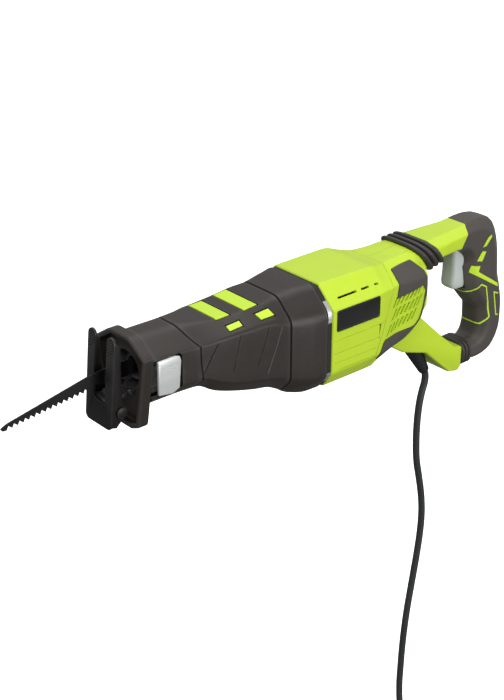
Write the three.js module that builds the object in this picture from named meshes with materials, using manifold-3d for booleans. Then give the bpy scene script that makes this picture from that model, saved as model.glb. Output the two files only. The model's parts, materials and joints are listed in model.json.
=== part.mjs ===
// Corded reciprocating saw with a vibration-damped D handle.
// Millimetres, +Z up. The blade points along -X and the handle is towards +X.
// Inside the saw group, x = 0 is the face of the shoe, z = 0 is the plunger's axis and
// y = 0 is the middle plane. The group is moved so that the origin is the middle of the rear grip.
import * as THREE from "three";
import { mergeVertices } from "three/addons/utils/BufferGeometryUtils.js";
import Module from "manifold-3d";

const wasm = await Module();
wasm.setup();

// ---------------------------------------------------------------- driving dimensions
const GAP = 0.3;               // clearance between pieces that touch
const RUBBER = 2.5;            // thickness of the rubber boot
const CASTING = 3;             // wall of the aluminium gear housing
const SHELL = 3;               // wall of the plastic housing
const SKIN = 1.5;              // thickness of the soft overmold
const GRIP_CENTRE = { x: 440, z: -60 };

const STROKE = 28.6;           // full travel of the blade
const THROW = STROKE / 2;      // crank radius
const PLUNGER_R = 8;
const BORE_R = PLUNGER_R + GAP;
const BUSHING_R = 10.7;

const GEAR_X = 134;            // axis of the crank gear
const GEAR_R = 25;
const GEAR_TEETH = 54;
const PINION_TEETH = 6;
const MOTOR_Z = -20.5;         // axis of the motor
const SHAFT_R = 3;
const PINION_R = 4;

const BARREL_X = 203;          // front edge of the motor barrel
const BARREL_HALF = 46;        // half its width
const REAR_X = 332;            // rear wall of the housing
const SLANT = 0.77;            // how far the upper bellows leans, per mm of height
const NECK_X = 322.5;          // top of the neck that the upper bellows fits
const UPPER_BELLOWS = 24;      // length of the upper bellows
const LOWER_BELLOWS_X = 402;
const LOWER_BELLOWS = 14;

const SHOE_TILT = 5.2;         // degrees that the shoe leans back
const SHOE_PIN = { x: 8.3, z: -25.5 };

const CORD_LENGTH = 1800;
const CORD_R = 3.5;
const HANK_RUNS = 3.5;         // turns in the hank
const HANK_FOLD_R = 6 * CORD_R;
const HANK_ENTRY = 7;          // how far below the hank's crown the cord's run meets its round end

// ---------------------------------------------------------------- solids
function toSolid(geometry) {
  const bare = new THREE.BufferGeometry();
  bare.setAttribute("position", geometry.getAttribute("position").clone());
  bare.setIndex(geometry.getIndex() ? geometry.getIndex().clone() : null);
  const merged = mergeVertices(bare, 1e-4);
  const index = [...merged.getIndex().array];
  const point = (i) => new THREE.Vector3().fromBufferAttribute(merged.getAttribute("position"), i);
  let volume = 0;
  for (let i = 0; i < index.length; i += 3) {
    volume += point(index[i]).dot(point(index[i + 1]).cross(point(index[i + 2])));
  }
  if (volume < 0) index.reverse();
  return new wasm.Manifold(new wasm.Mesh({
    numProp: 3,
    vertProperties: new Float32Array(merged.getAttribute("position").array),
    triVerts: new Uint32Array(index),
  }));
}

function toGeometry(solid) {
  const mesh = solid.getMesh();
  const geometry = new THREE.BufferGeometry();
  geometry.setAttribute("position", new THREE.BufferAttribute(new Float32Array(mesh.vertProperties), 3));
  geometry.setIndex(new THREE.BufferAttribute(new Uint32Array(mesh.triVerts), 1));
  geometry.computeVertexNormals();
  return geometry;
}

const join = (first, ...others) => others.reduce((solid, other) => solid.add(other), first);
const cut = (first, ...others) => others.reduce((solid, other) => solid.subtract(other), first);

function box(x0, x1, y0, y1, z0, z1) {
  const geometry = new THREE.BoxGeometry(x1 - x0, y1 - y0, z1 - z0);
  geometry.translate((x0 + x1) / 2, (y0 + y1) / 2, (z0 + z1) / 2);
  return toSolid(geometry);
}

// A turned piece about the X axis through (y, z), from [x, radius] pairs that close on themselves.
function turnedX(profile, y = 0, z = 0, sides = 24) {
  const points = profile.map(([x, r]) => new THREE.Vector2(r, x));
  const geometry = new THREE.LatheGeometry([...points, points[0]], sides);
  geometry.rotateZ(-Math.PI / 2);
  geometry.translate(0, y, z);
  return toSolid(geometry);
}

const rodX = (x0, x1, r, y = 0, z = 0, sides = 16) =>
  turnedX([[x0, 0], [x0, r], [x1, r], [x1, 0]], y, z, sides);
const ringX = (x0, x1, inner, outer, z = 0, sides = 20) =>
  turnedX([[x0, inner], [x0, outer], [x1, outer], [x1, inner]], 0, z, sides);

function rodZ(z0, z1, r, x, y = 0, sides = 16) {
  const geometry = new THREE.CylinderGeometry(r, r, z1 - z0, sides);
  geometry.rotateX(Math.PI / 2);
  geometry.translate(x, y, (z0 + z1) / 2);
  return toSolid(geometry);
}

function rodY(y0, y1, r, x, z, sides = 16) {
  const geometry = new THREE.CylinderGeometry(r, r, y1 - y0, sides);
  geometry.translate(x, (y0 + y1) / 2, z);
  return toSolid(geometry);
}

// An outline in the XZ plane, pushed out from y0 to y1.
function plateXZ(outline, y0, y1) {
  const shape = new THREE.Shape(outline.map(([x, z]) => new THREE.Vector2(x, z)));
  const geometry = new THREE.ExtrudeGeometry(shape, { depth: y1 - y0, bevelEnabled: false });
  geometry.rotateX(Math.PI / 2);
  geometry.translate(0, y1, 0);
  return toSolid(geometry);
}

// Rings of equally many points, joined side by side and closed at both ends.
function loft(rings) {
  const count = rings[0].length;
  const points = rings.flat();
  const index = [];
  for (let k = 0; k + 1 < rings.length; k += 1) {
    for (let i = 0; i < count; i += 1) {
      const a = k * count + i;
      const b = k * count + (i + 1) % count;
      index.push(a, b, b + count, a, b + count, a + count);
    }
  }
  const lastStart = (rings.length - 1) * count;
  for (const [ring, start, turn] of [[rings[0], 0, true], [rings.at(-1), lastStart, false]]) {
    const middle = ring.reduce((sum, p) => sum.add(p), new THREE.Vector3()).divideScalar(count);
    points.push(middle);
    for (let i = 0; i < count; i += 1) {
      const a = start + i;
      const b = start + (i + 1) % count;
      index.push(...(turn ? [b, a, points.length - 1] : [a, b, points.length - 1]));
    }
  }
  const geometry = new THREE.BufferGeometry().setFromPoints(points);
  geometry.setIndex(index);
  return toSolid(geometry);
}

// ---------------------------------------------------------------- outer shape of the saw
// Each section has a flat top and bottom, upright sides and sloping shoulders between them.
// x, top, half width of the top, shoulder height, half width, sill height, half width of the bottom, bottom
const SECTIONS = [
  [31, 30, 8, 16, 29.5, -16, 20, -25],
  [60, 29.3, 9, 15, 30, -15.5, 21, -24.5],
  [78, 28, 12, 14, 31, -15.5, 22, -25],
  [95, 26.3, 15.5, 15, 33.5, -22, 24, -33.5],
  [110, 25.3, 18, 16, 35, -27.5, 24.5, -38.8],
  [136, 26.8, 20, 16, 36.7, -33, 25, -46],
  [149, 27.6, 21, 15, 37.5, -36, 25, -48.5],
  [163.5, 29, 20, 12, 38.5, -42, 25, -56],
  [172, 29.7, 21, 12, 41, -46, 26, -61.5],
  [185, 31, 22.5, 12, 44.5, -48, 30, -64],
  [BARREL_X, 30.5, 26.7, 12, BARREL_HALF, -46, 35, -61.8],
  [258, 30.3, 28, 12, BARREL_HALF, -45, 36, -60.8],
  [262, 30, 28, 12, 45.5, -44.5, 35, -59.8],
  [288, 24.5, 20, 10, 39, -42, 30, -55],
  [304, 24.5, 18, 8, 38, -38, 28, -53],
  [320, 25, 18, 6, 35, -31, 26, -48],
  [REAR_X, 25, 16, 4, 31, -24, 22, -42],
];

function sectionAt(x) {
  const next = Math.max(1, SECTIONS.findIndex((section) => section[0] >= x));
  const [before, after] = [SECTIONS[next - 1], SECTIONS[next]];
  const part = (x - before[0]) / (after[0] - before[0]);
  return before.map((value, i) => value + (after[i] - value) * part);
}

// Four corners [y, z] of one side and their mirror images, each cut off by a short flat.
function mirroredRing(x, side) {
  const corners = [...side, ...[...side].reverse().map(([y, z]) => [-y, z])];
  return corners.flatMap(([y, z], i) => {
    const corner = new THREE.Vector3(x, y, z);
    const before = new THREE.Vector3(x, ...corners.at(i - 1));
    const after = new THREE.Vector3(x, ...corners[(i + 1) % corners.length]);
    const reach = Math.min(6, 0.3 * corner.distanceTo(before), 0.3 * corner.distanceTo(after));
    const start = before.sub(corner).setLength(reach).add(corner);
    const end = after.sub(corner).setLength(reach).add(corner);
    return [start, end];
  });
}

// The outline of a section; shrink moves the whole outline inwards.
function sectionRing(section, shrink = 0) {
  const [x, top, topHalf, shoulder, half, sill, bottomHalf, bottom] = section;
  return mirroredRing(x, [
    [topHalf - 0.6 * shrink, top - shrink],
    [half - shrink, shoulder - 0.3 * shrink],
    [half - shrink, sill + 0.3 * shrink],
    [bottomHalf - 0.6 * shrink, bottom + shrink],
  ]);
}

// The body between two stations, its skin moved inwards by shrink.
function bodyPiece(x0, x1, shrink = 0) {
  const inside = SECTIONS.filter(([x]) => x > x0 + 0.01 && x < x1 - 0.01);
  const [start, end] = [x0, x1].map((x) =>
    [x, ...sectionAt(THREE.MathUtils.clamp(x, SECTIONS[0][0], REAR_X)).slice(1)]);
  return loft([start, ...inside, end].map((section) => sectionRing(section, shrink)));
}

// A softened oval ring: width along Y, depth along the direction "out" in the XZ plane.
function ovalRing(x, z, outX, outZ, depth, half, sides = 16, power = 3) {
  return Array.from({ length: sides }, (_, i) => {
    const angle = (2 * Math.PI * i) / sides;
    const round = (value) => Math.sign(value) * Math.abs(value) ** (2 / power);
    const along = depth * round(Math.cos(angle));
    const across = half * round(Math.sin(angle));
    return new THREE.Vector3(x + outX * along, across, z + outZ * along);
  });
}

// A ring of the upper neck: it leans back below its top edge.
function leaningRing(topX, top, bottom, half, shrink = 0) {
  const depth = (top - bottom) / 2 - shrink;
  const middle = (top + bottom) / 2;
  return ovalRing(topX + SLANT * (NECK_TOP - middle), middle, -SLANT, 1, depth, half - shrink);
}

const NECK_TOP = 27;           // height at which topX is measured
const NECK_BOTTOM = 0;
const ARM_BOTTOM = 6.5;        // underside of the arm behind the upper bellows

// ---------------------------------------------------------------- materials and assembly
const finish = (color, roughness, metalness = 0) =>
  new THREE.MeshStandardMaterial({ color, roughness, metalness });
const GREEN = finish(0xc4dd3c, 0.42);
const RUBBER_GREY = finish(0x4a4541, 0.75);
const BLACK = finish(0x1d1c1c, 0.5);
const BLACK_STEEL = finish(0x232222, 0.45, 0.7);
const SILVER = finish(0xb9bcba, 0.38, 0.6);
const STEEL = finish(0x9a9c9e, 0.32, 0.9);
const ALUMINIUM = finish(0xb2b4b6, 0.45, 0.8);
const COPPER = finish(0xb0673a, 0.35, 0.9);
const BRONZE = finish(0x9b7b45, 0.45, 0.8);
const CARBON = finish(0x2b2b2d, 0.6);
const LIGHT_GREY = finish(0xa9adab, 0.5);
const CORD_GREY = finish(0x3c3d3e, 0.6);

const saw = new THREE.Group();
const origin = new THREE.Group();
saw.position.set(-GRIP_CENTRE.x, 0, -GRIP_CENTRE.z);
origin.add(saw);

function add(name, solid, material, parent = saw) {
  const mesh = new THREE.Mesh(toGeometry(solid), material);
  mesh.name = name;
  parent.add(mesh);
}

// ---------------------------------------------------------------- blade and plunger
const SHANK_REAR = 53;
const BLADE_TIP = { x: -88, z: -14 };

function bladeOutline() {
  const teeth = 17;
  const pitch = 4.9;
  const firstX = BLADE_TIP.x + 5;
  const slope = 0.104;
  const edge = (x) => -15.2 + slope * (x - BLADE_TIP.x - 5);
  const points = [[BLADE_TIP.x, BLADE_TIP.z + 1], [BLADE_TIP.x + 1.5, BLADE_TIP.z - 0.9]];
  for (let i = 0; i < teeth; i += 1) {
    const x = firstX + i * pitch;
    points.push([x, edge(x)]);
    points.push([x + 1.6, edge(x) + 3.2]);
  }
  points.push([8, -6.5], [14, -6], [SHANK_REAR, -6], [SHANK_REAR, 6], [12, 7], [-6, 5.5]);
  points.push([BLADE_TIP.x + 6, -10], [BLADE_TIP.x + 2, -11.6]);
  return points;
}

const PIN_X = 47;              // the pin that locks the shank
add("blade", cut(plateXZ(bladeOutline(), -0.65, 0.65), rodY(-2, 2, 2, PIN_X, 0, 16)), BLACK_STEEL);

const PLUNGER_FRONT = 41;
const PLUNGER_REAR = 176;
const YOKE = { bottom: -15.9, half: 23, reach: 9.5 };
const ROLLER_R = 6;
function plunger() {
  const rod = turnedX([
    [PLUNGER_FRONT, 0], [PLUNGER_FRONT, PLUNGER_R - 1], [PLUNGER_FRONT + 1, PLUNGER_R],
    [PLUNGER_REAR - 1, PLUNGER_R], [PLUNGER_REAR, PLUNGER_R - 1], [PLUNGER_REAR, 0],
  ]);
  const yoke = box(GEAR_X - YOKE.reach, GEAR_X + YOKE.reach, -YOKE.half, YOKE.half, YOKE.bottom, -4);
  const track = box(GEAR_X - ROLLER_R - 0.4, GEAR_X + ROLLER_R + 0.4,
    -THROW - ROLLER_R - 0.4, THROW + ROLLER_R + 0.4, YOKE.bottom - 1, -9);
  const bladeSlot = box(PLUNGER_FRONT - 1, SHANK_REAR + GAP, -0.95, 0.95, -6.4, 6.4);
  return cut(join(rod, yoke), track, bladeSlot, rodY(-9, 9, 1.8, PIN_X, 0, 16));
}
add("plunger_shaft", plunger(), STEEL);
add("clamp_lock_pin", rodY(-7.6, 7.6, 1.5, PIN_X, 0, 16), STEEL);

const COLLAR = { front: 34, rear: 55, radius: 12.5 };
function clampCollar() {
  const ring = turnedX([
    [COLLAR.front, BORE_R], [COLLAR.front, 11], [COLLAR.front + 1.5, 12], [COLLAR.rear - 1.5, 12],
    [COLLAR.rear, 11], [COLLAR.rear, BORE_R],
  ]);
  const ribs = [0, 60, 120, 180, 240, 300].map((degrees) => {
    const geometry = new THREE.BoxGeometry(COLLAR.rear - COLLAR.front - 4, 2.4, 2);
    geometry.translate((COLLAR.front + COLLAR.rear) / 2, 0, COLLAR.radius - 1);
    geometry.rotateX(THREE.MathUtils.degToRad(degrees));
    return toSolid(geometry);
  });
  return join(ring, ...ribs);
}
add("blade_clamp_collar", clampCollar(), BLACK_STEEL);

// ---------------------------------------------------------------- shoe
const shoe = new THREE.Group();
shoe.position.set(SHOE_PIN.x, 0, SHOE_PIN.z);
shoe.rotation.y = THREE.MathUtils.degToRad(SHOE_TILT);
saw.add(shoe);

const SHOE = {
  half: 17, top: 62, bottom: -14.3, front: -9.45, plate: 2.5, flange: 2.5, slotHalf: 7.5, slotBottom: 6.5,
};
// A fork: two round-tipped tines joined below the slot, with flanges bent back along their edges.
function pivotShoe() {
  const { half, top, bottom, front, plate, flange, slotHalf, slotBottom } = SHOE;
  const side = [
    [half - 4, bottom], [half, bottom + 4], [half, top - 5], [half - 1.7, top - 1.2], [half - 4.5, top],
    [slotHalf + 1.7, top - 1.2], [slotHalf, top - 5],
    [slotHalf, slotBottom + 3.5], [slotHalf - 3, slotBottom],
  ];
  const outline = [...side, ...[...side].reverse().map(([y, z]) => [-y, z])];
  const shape = new THREE.Shape(outline.map(([y, z]) => new THREE.Vector2(y, z)));
  const geometry = new THREE.ExtrudeGeometry(shape, { depth: plate, bevelEnabled: false });
  geometry.rotateX(Math.PI / 2);
  geometry.rotateZ(Math.PI / 2);
  geometry.translate(front, 0, 0);
  const ear = [
    [front + 1, bottom + 2], [-3, bottom + 2], [4, -6], [6.2, 0], [4, 6], [0.5, 10],
    [-1.5, 30], [-2.6, top - 9], [-5, top - 5], [front + 1, top - 5],
  ];
  const lip = [[front + 1, 16], [-1.4, 16], [-1.6, 30], [-4.8, top - 5], [front + 1, top - 5]];
  const sides = [-1, 1].flatMap((hand) => {
    const y = hand * (half - flange / 2);
    const lipY = hand * (slotHalf + 0.75);
    return [
      cut(plateXZ(ear, y - flange / 2, y + flange / 2), rodY(y - 5, y + 5, 4.3, 0, 0)),
      plateXZ(lip, lipY - 0.75, lipY + 0.75),
    ];
  });
  return join(toSolid(geometry), ...sides);
}
add("pivot_shoe", pivotShoe(), BLACK_STEEL, shoe);

const POST = { front: 9, rear: 60, half: 9, bottom: -18.4, top: -15.4 };
function shoePost() {
  const { x, z } = SHOE_PIN;
  const bar = box(POST.front, POST.rear, -POST.half, POST.half, POST.bottom, POST.top);
  const hanger = join(rodY(-14.2, 14.2, 6.3, x, z, 24), box(x - 2, x + 5, -7, 7, z, POST.top));
  const notch = box(20, 24, -20, -POST.half + 2.5, POST.bottom - 1, POST.top + 1);
  return cut(join(bar, hanger), rodY(-20, 20, 4.3, x, z), notch);
}
add("shoe_post", shoePost(), STEEL);
add("shoe_pivot_pin", rodY(-19.5, 19.5, 4, SHOE_PIN.x, SHOE_PIN.z, 24), STEEL);

// ---------------------------------------------------------------- nose
const HOOD = { front: 20.3, rear: 30.5, wall: 4.5 };
// The hood is widest at its shoulders and tapers to a round foot.
const hoodRing = (x, shrink = 0) => mirroredRing(x, [
  [12 - 0.6 * shrink, 32.5 - shrink], [32 - shrink, 18.5 - 0.3 * shrink],
  [22.2 - shrink, -41.5 + 0.6 * shrink], [12 - 0.6 * shrink, -46.3 + shrink],
]);
function noseGuard() {
  const { front, rear, wall } = HOOD;
  const outer = loft([front, rear].map((x) => hoodRing(x)));
  const hollow = loft([front - 1, rear - 3.5].map((x) => hoodRing(x, wall)));
  const postSlot = box(front, rear + 1, -POST.half - 1, POST.half + 1, POST.bottom - 1, POST.top + 2);
  return cut(outer, hollow, rodX(front, rear + 1, 16, 0, 0, 24), postSlot);
}
add("nose_guard", noseGuard(), RUBBER_GREY);

const BUTTON = { x0: 34.5, x1: 57, z0: -15, z1: 14, travel: 3 };
const STEM_X = 46;
const SNOUT_HALF = 21;
function releaseButton() {
  const { x0, x1, z0, z1 } = BUTTON;
  const face = plateXZ([
    [x0, z0], [x1 - 9, z0 - 2], [x1 - 2, z0 + 1], [x1, z1 - 3], [x1 - 3, z1], [x0, z1],
  ], -31.2, -28.2);
  return join(face, rodY(-29, -16.2, 4, STEM_X, 0));
}
add("shoe_release_button", releaseButton(), SILVER);
add("release_button_spring",
  cut(rodY(-27.9, -SNOUT_HALF - GAP, 7, STEM_X, 0), rodY(-30, -18, 5, STEM_X, 0)), STEEL);

function buttonWell(grow) {
  const { x0, x1, z0, z1 } = BUTTON;
  return box(x0 - grow, x1 + grow, -40, -25, z0 - 2 - grow, z1 + grow);
}

const BOOT_REAR = 198;
add("nose_boot", cut(bodyPiece(31, BOOT_REAR), bodyPiece(30, 205, RUBBER), buttonWell(0.8)), RUBBER_GREY);

// ---------------------------------------------------------------- gear housing
const CASTING_OUT = RUBBER + GAP;
const CASTING_IN = CASTING_OUT + CASTING;
const FRONT_WALL = { x0: 76, x1: 84 };
const REAR_WALL = { x0: 160, x1: 170 };
const FRONT_BEARING_R = 8;

function gearHousing() {
  const snout = [33.5, 80].map((x) => sectionRing([x, 24, 10, 12, SNOUT_HALF, -14, 16, -21]));
  const snoutHollow = [30, 73].map((x) => sectionRing([x, 20.5, 9, 11, 17, -14, 13, -18.8]));
  const shell = join(loft(snout), bodyPiece(FRONT_WALL.x0, 201, CASTING_OUT));
  const chamber = bodyPiece(FRONT_WALL.x1, REAR_WALL.x0, CASTING_IN);
  const bell = bodyPiece(REAR_WALL.x1, 206, CASTING_IN);
  return cut(shell, loft(snoutHollow), chamber, bell,
    rodX(70, 180, BUSHING_R + GAP, 0, 0, 20),
    rodX(150, 180, FRONT_BEARING_R + GAP, 0, MOTOR_Z, 20),
    rodY(-24, -14, 4.5, STEM_X, 0));
}
add("gear_housing", gearHousing(), ALUMINIUM);
add("plunger_front_bushing", ringX(76.2, 84, BORE_R, BUSHING_R), BRONZE);
add("shaft_seal", ringX(73, 75.9, BORE_R, BUSHING_R), BLACK);
add("plunger_rear_guide", ringX(REAR_WALL.x0, REAR_WALL.x1, BORE_R, BUSHING_R), BRONZE);

// ---------------------------------------------------------------- gear train
const GEAR = { bottom: -31.6, top: -26.4, teethTop: -25 };
const GEAR_BORE_R = 9;
function driveGear() {
  const rim = Array.from({ length: GEAR_TEETH * 2 }, (_, i) => {
    const angle = (Math.PI * i) / GEAR_TEETH;
    const r = i % 2 ? GEAR_R : GEAR_R - 1.6;
    return new THREE.Vector2(r * Math.cos(angle), r * Math.sin(angle));
  });
  const geometry = new THREE.ExtrudeGeometry(new THREE.Shape(rim),
    { depth: GEAR.teethTop - GEAR.bottom, bevelEnabled: false });
  geometry.translate(GEAR_X, 0, GEAR.bottom);
  return cut(toSolid(geometry), rodZ(GEAR.bottom - 1, GEAR.top + 9, GEAR_BORE_R, GEAR_X, 0, 20),
    rodZ(GEAR.top, GEAR.top + 9, GEAR_R - 4.2, GEAR_X, 0, 32));
}
add("drive_gear", driveGear(), STEEL);
add("gear_bearing", cut(rodZ(GEAR.bottom + 0.4, GEAR.top - 0.4, GEAR_BORE_R - GAP, GEAR_X, 0, 20),
  rodZ(GEAR.bottom - 1, GEAR.top + 1, 4.3, GEAR_X)), BRONZE);
add("gear_axle",
  join(rodZ(-38.2, GEAR.top + 0.8, 4, GEAR_X), rodZ(GEAR.top, GEAR.top + 1.4, 6, GEAR_X)), STEEL);
add("crank_pin", rodZ(GEAR.top + GAP, -16.6, 3.6, GEAR_X, THROW), STEEL);
add("crank_roller", cut(rodZ(-22, -16.5, ROLLER_R, GEAR_X, THROW, 20),
  rodZ(-23, -16, 3.9, GEAR_X, THROW)), STEEL);

// ---------------------------------------------------------------- motor
const PINION_X = GEAR_X + GEAR_R - 4;
const SHAFT_REAR = 311;
function armatureShaft() {
  const star = Array.from({ length: PINION_TEETH * 2 }, (_, i) => {
    const angle = (Math.PI * i) / PINION_TEETH;
    const r = i % 2 ? PINION_R : 2.7;
    return new THREE.Vector2(r * Math.cos(angle), r * Math.sin(angle));
  });
  const geometry = new THREE.ExtrudeGeometry(new THREE.Shape(star), { depth: 4.4, bevelEnabled: false });
  geometry.rotateY(Math.PI / 2);
  geometry.translate(PINION_X, 0, MOTOR_Z);
  return join(toSolid(geometry), rodX(PINION_X + 4.2, SHAFT_REAR, SHAFT_R, 0, MOTOR_Z));
}
add("armature_shaft", armatureShaft(), STEEL);

const SHAFT_BORE = SHAFT_R + GAP;
add("front_motor_bearing", ringX(161, 169, SHAFT_BORE, FRONT_BEARING_R, MOTOR_Z), STEEL);

function coolingFan() {
  const disc = turnedX([[193, SHAFT_BORE], [193, 31], [194.5, 31], [195, 10], [203, 8], [203, SHAFT_BORE]],
    0, MOTOR_Z, 24);
  const blades = Array.from({ length: 9 }, (_, i) => {
    const geometry = new THREE.BoxGeometry(7.5, 1.6, 21);
    geometry.translate(198, 0, 19.5);
    geometry.rotateX((2 * Math.PI * i) / 9);
    geometry.translate(0, 0, MOTOR_Z);
    return toSolid(geometry);
  });
  return join(disc, ...blades);
}
add("cooling_fan", coolingFan(), BLACK);

const CORE = { x0: 224, x1: 267, r: 22 };
function armatureCore() {
  const slots = 10;
  const rim = Array.from({ length: slots * 4 }, (_, i) => {
    const angle = (2 * Math.PI * (Math.floor(i / 4) + [0.05, 0.2, 0.3, 0.95][i % 4])) / slots;
    const r = i % 4 === 1 ? CORE.r - 4 : CORE.r;
    return new THREE.Vector2(r * Math.cos(angle), r * Math.sin(angle));
  });
  const shape = new THREE.Shape(rim);
  shape.holes.push(new THREE.Path().absarc(0, 0, SHAFT_BORE, 0, 2 * Math.PI, true));
  const geometry = new THREE.ExtrudeGeometry(shape,
    { depth: CORE.x1 - CORE.x0, bevelEnabled: false, curveSegments: 12 });
  geometry.rotateY(Math.PI / 2);
  geometry.translate(CORE.x0, 0, MOTOR_Z);
  return toSolid(geometry);
}
add("armature_core", armatureCore(), STEEL);
const windingRing = (x0, x1) => turnedX([
  [x0, SHAFT_BORE], [x0, 15], [x0 + 2, 19], [x1 - 2, 19], [x1, 15], [x1, SHAFT_BORE],
], 0, MOTOR_Z, 18);
add("armature_winding_front", windingRing(214, CORE.x0 - GAP), COPPER);
add("armature_winding_rear", windingRing(CORE.x1 + GAP, 277), COPPER);
const COMMUTATOR = { x0: 278, x1: 294, r: 10.5 };
add("commutator", ringX(COMMUTATOR.x0, COMMUTATOR.x1, SHAFT_BORE, COMMUTATOR.r, MOTOR_Z, 22), COPPER);

add("stator", ringX(222, 268, CORE.r + 0.8, 34, MOTOR_Z, 28), STEEL);
add("field_winding_front", ringX(214, 222 - GAP, 24, 33, MOTOR_Z), COPPER);
add("field_winding_rear", ringX(268 + GAP, 276, 24, 33, MOTOR_Z), COPPER);

const BRUSH_X = (COMMUTATOR.x0 + COMMUTATOR.x1) / 2;
for (const [side, hand] of [["left", -1], ["right", 1]]) {
  const across = (from, to) => [hand * from, hand * to].sort((a, b) => a - b);
  const holder = box(BRUSH_X - 5.5, BRUSH_X + 5.5, ...across(13, 29), MOTOR_Z - 6.5, MOTOR_Z + 6.5);
  const bore = box(BRUSH_X - 3.4, BRUSH_X + 3.4, ...across(12, 26), MOTOR_Z - 4.4, MOTOR_Z + 4.4);
  add(`brush_holder_${side}`, cut(holder, bore), BRONZE);
  add(`brush_${side}`, box(BRUSH_X - 3, BRUSH_X + 3, ...across(11, 25), MOTOR_Z - 4, MOTOR_Z + 4), CARBON);
}

const BRACKET = { x0: 302, x1: 310 };
add("motor_end_bracket", cut(
  box(BRACKET.x0, BRACKET.x1, -27, 27, -42, 4),
  rodX(300, 312, FRONT_BEARING_R + GAP, 0, MOTOR_Z, 20)), BLACK);
add("rear_motor_bearing", ringX(BRACKET.x0, BRACKET.x1, SHAFT_BORE, FRONT_BEARING_R, MOTOR_Z), STEEL);

// ---------------------------------------------------------------- green housing
// The seam between the barrel and the rear clamshell leans back towards the top.
const SEAM = { low: { x: 247.2, z: -61 }, lean: 0.434 };
const seamX = (z) => SEAM.low.x + SEAM.lean * (z - SEAM.low.z);
function behindSeam(shift) {
  return plateXZ([
    [seamX(-200) + shift, -200], [450, -200], [450, 100], [seamX(100) + shift, 100],
  ], -90, 90);
}

const housingSkin = bodyPiece(BARREL_X, REAR_X);
const housingHollow = bodyPiece(200, REAR_X - SHELL, SHELL);
add("motor_barrel", cut(housingSkin, housingHollow, behindSeam(0)), GREEN);

function beyondNeck(shift) {
  const edge = (z) => NECK_X + SLANT * (NECK_TOP - z) + shift;
  return plateXZ([[edge(80), 80], [edge(-12), -12], [500, -12], [500, 80]], -90, 90);
}

const BEAM_HALF = 16;
const BEAM_OUTLINE = [
  [322, -36], [341, -44], [355, -57], [369, -70], [391, -90], [LOWER_BELLOWS_X, -93],
  [LOWER_BELLOWS_X, -114], [397, -118], [385, -115], [352, -85], [322, -75], [296, -58],
];
const BEAM_HOLLOW = [
  [318, -45], [338, -50], [352, -63], [386, -95], [388, -110], [385, -110], [356, -83], [320, -68],
];
// Three rows of leaning louvre slots: the foot of each row's first and last slot.
const LOUVRE = { columns: 6, width: 2.3, height: 6, lean: 6.4 };
const LOUVRE_ROWS = [
  [[281.8, -8.8], [311.3, -7]],
  [[282.4, -19.4], [311.9, -17.8]],
  [[273.8, -31.5], [303.3, -28.5]],
];
function louvreSlot(x, z) {
  const { width, height, lean } = LOUVRE;
  return plateXZ([[x, z], [x + width, z], [x + width + lean, z + height], [x + lean, z + height]], -60, 60);
}
const louvreSlots = () => LOUVRE_ROWS.flatMap(([first, last]) =>
  Array.from({ length: LOUVRE.columns }, (_, column) => {
    const part = column / (LOUVRE.columns - 1);
    return louvreSlot(...first.map((value, i) => value + (last[i] - value) * part));
  }));

function rearHousing() {
  const neck = loft([290, NECK_X + 20].map((x) => leaningRing(x, NECK_TOP - 1, NECK_BOTTOM, 24)));
  const beam = plateXZ(BEAM_OUTLINE, -BEAM_HALF, BEAM_HALF);
  const beamHollow = plateXZ(BEAM_HOLLOW, -BEAM_HALF + SHELL, BEAM_HALF - SHELL);
  const whole = join(cut(housingSkin, beyondNeck(0)), cut(neck, beyondNeck(0)), beam);
  return cut(whole, cut(housingHollow, beyondNeck(-SHELL)), beamHollow, reliefHole(), ...louvreSlots())
    .intersect(behindSeam(GAP));
}

// ---------------------------------------------------------------- strain relief and cord
const RELIEF = { rootX: 346, rootZ: -78, tipX: 367.5, tipZ: -113, rootR: 9, tipR: 5 };
function relief(grow, from, to) {
  const length = Math.hypot(RELIEF.tipX - RELIEF.rootX, RELIEF.tipZ - RELIEF.rootZ);
  const radiusAt = (part) => RELIEF.rootR + (RELIEF.tipR - RELIEF.rootR) * part;
  const geometry = new THREE.CylinderGeometry(
    radiusAt(to) + grow, radiusAt(from) + grow, length * (to - from), 20);
  geometry.translate(0, length * (from + to) / 2, 0);
  const along = new THREE.Vector3(RELIEF.tipX - RELIEF.rootX, 0, RELIEF.tipZ - RELIEF.rootZ).normalize();
  geometry.applyQuaternion(new THREE.Quaternion().setFromUnitVectors(new THREE.Vector3(0, 1, 0), along));
  geometry.translate(RELIEF.rootX, 0, RELIEF.rootZ);
  return toSolid(geometry);
}
const reliefHole = () => relief(GAP, -0.2, 1.1);

const clamshell = rearHousing();
const leftHalf = box(-200, 900, -200, -GAP / 2, -300, 300);
const rightHalf = box(-200, 900, GAP / 2, 200, -300, 300);
add("rear_housing_left", clamshell.intersect(leftHalf), GREEN);
add("rear_housing_right", clamshell.intersect(rightHalf), GREEN);
add("strain_relief", relief(0, 0, 1), BLACK);

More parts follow.
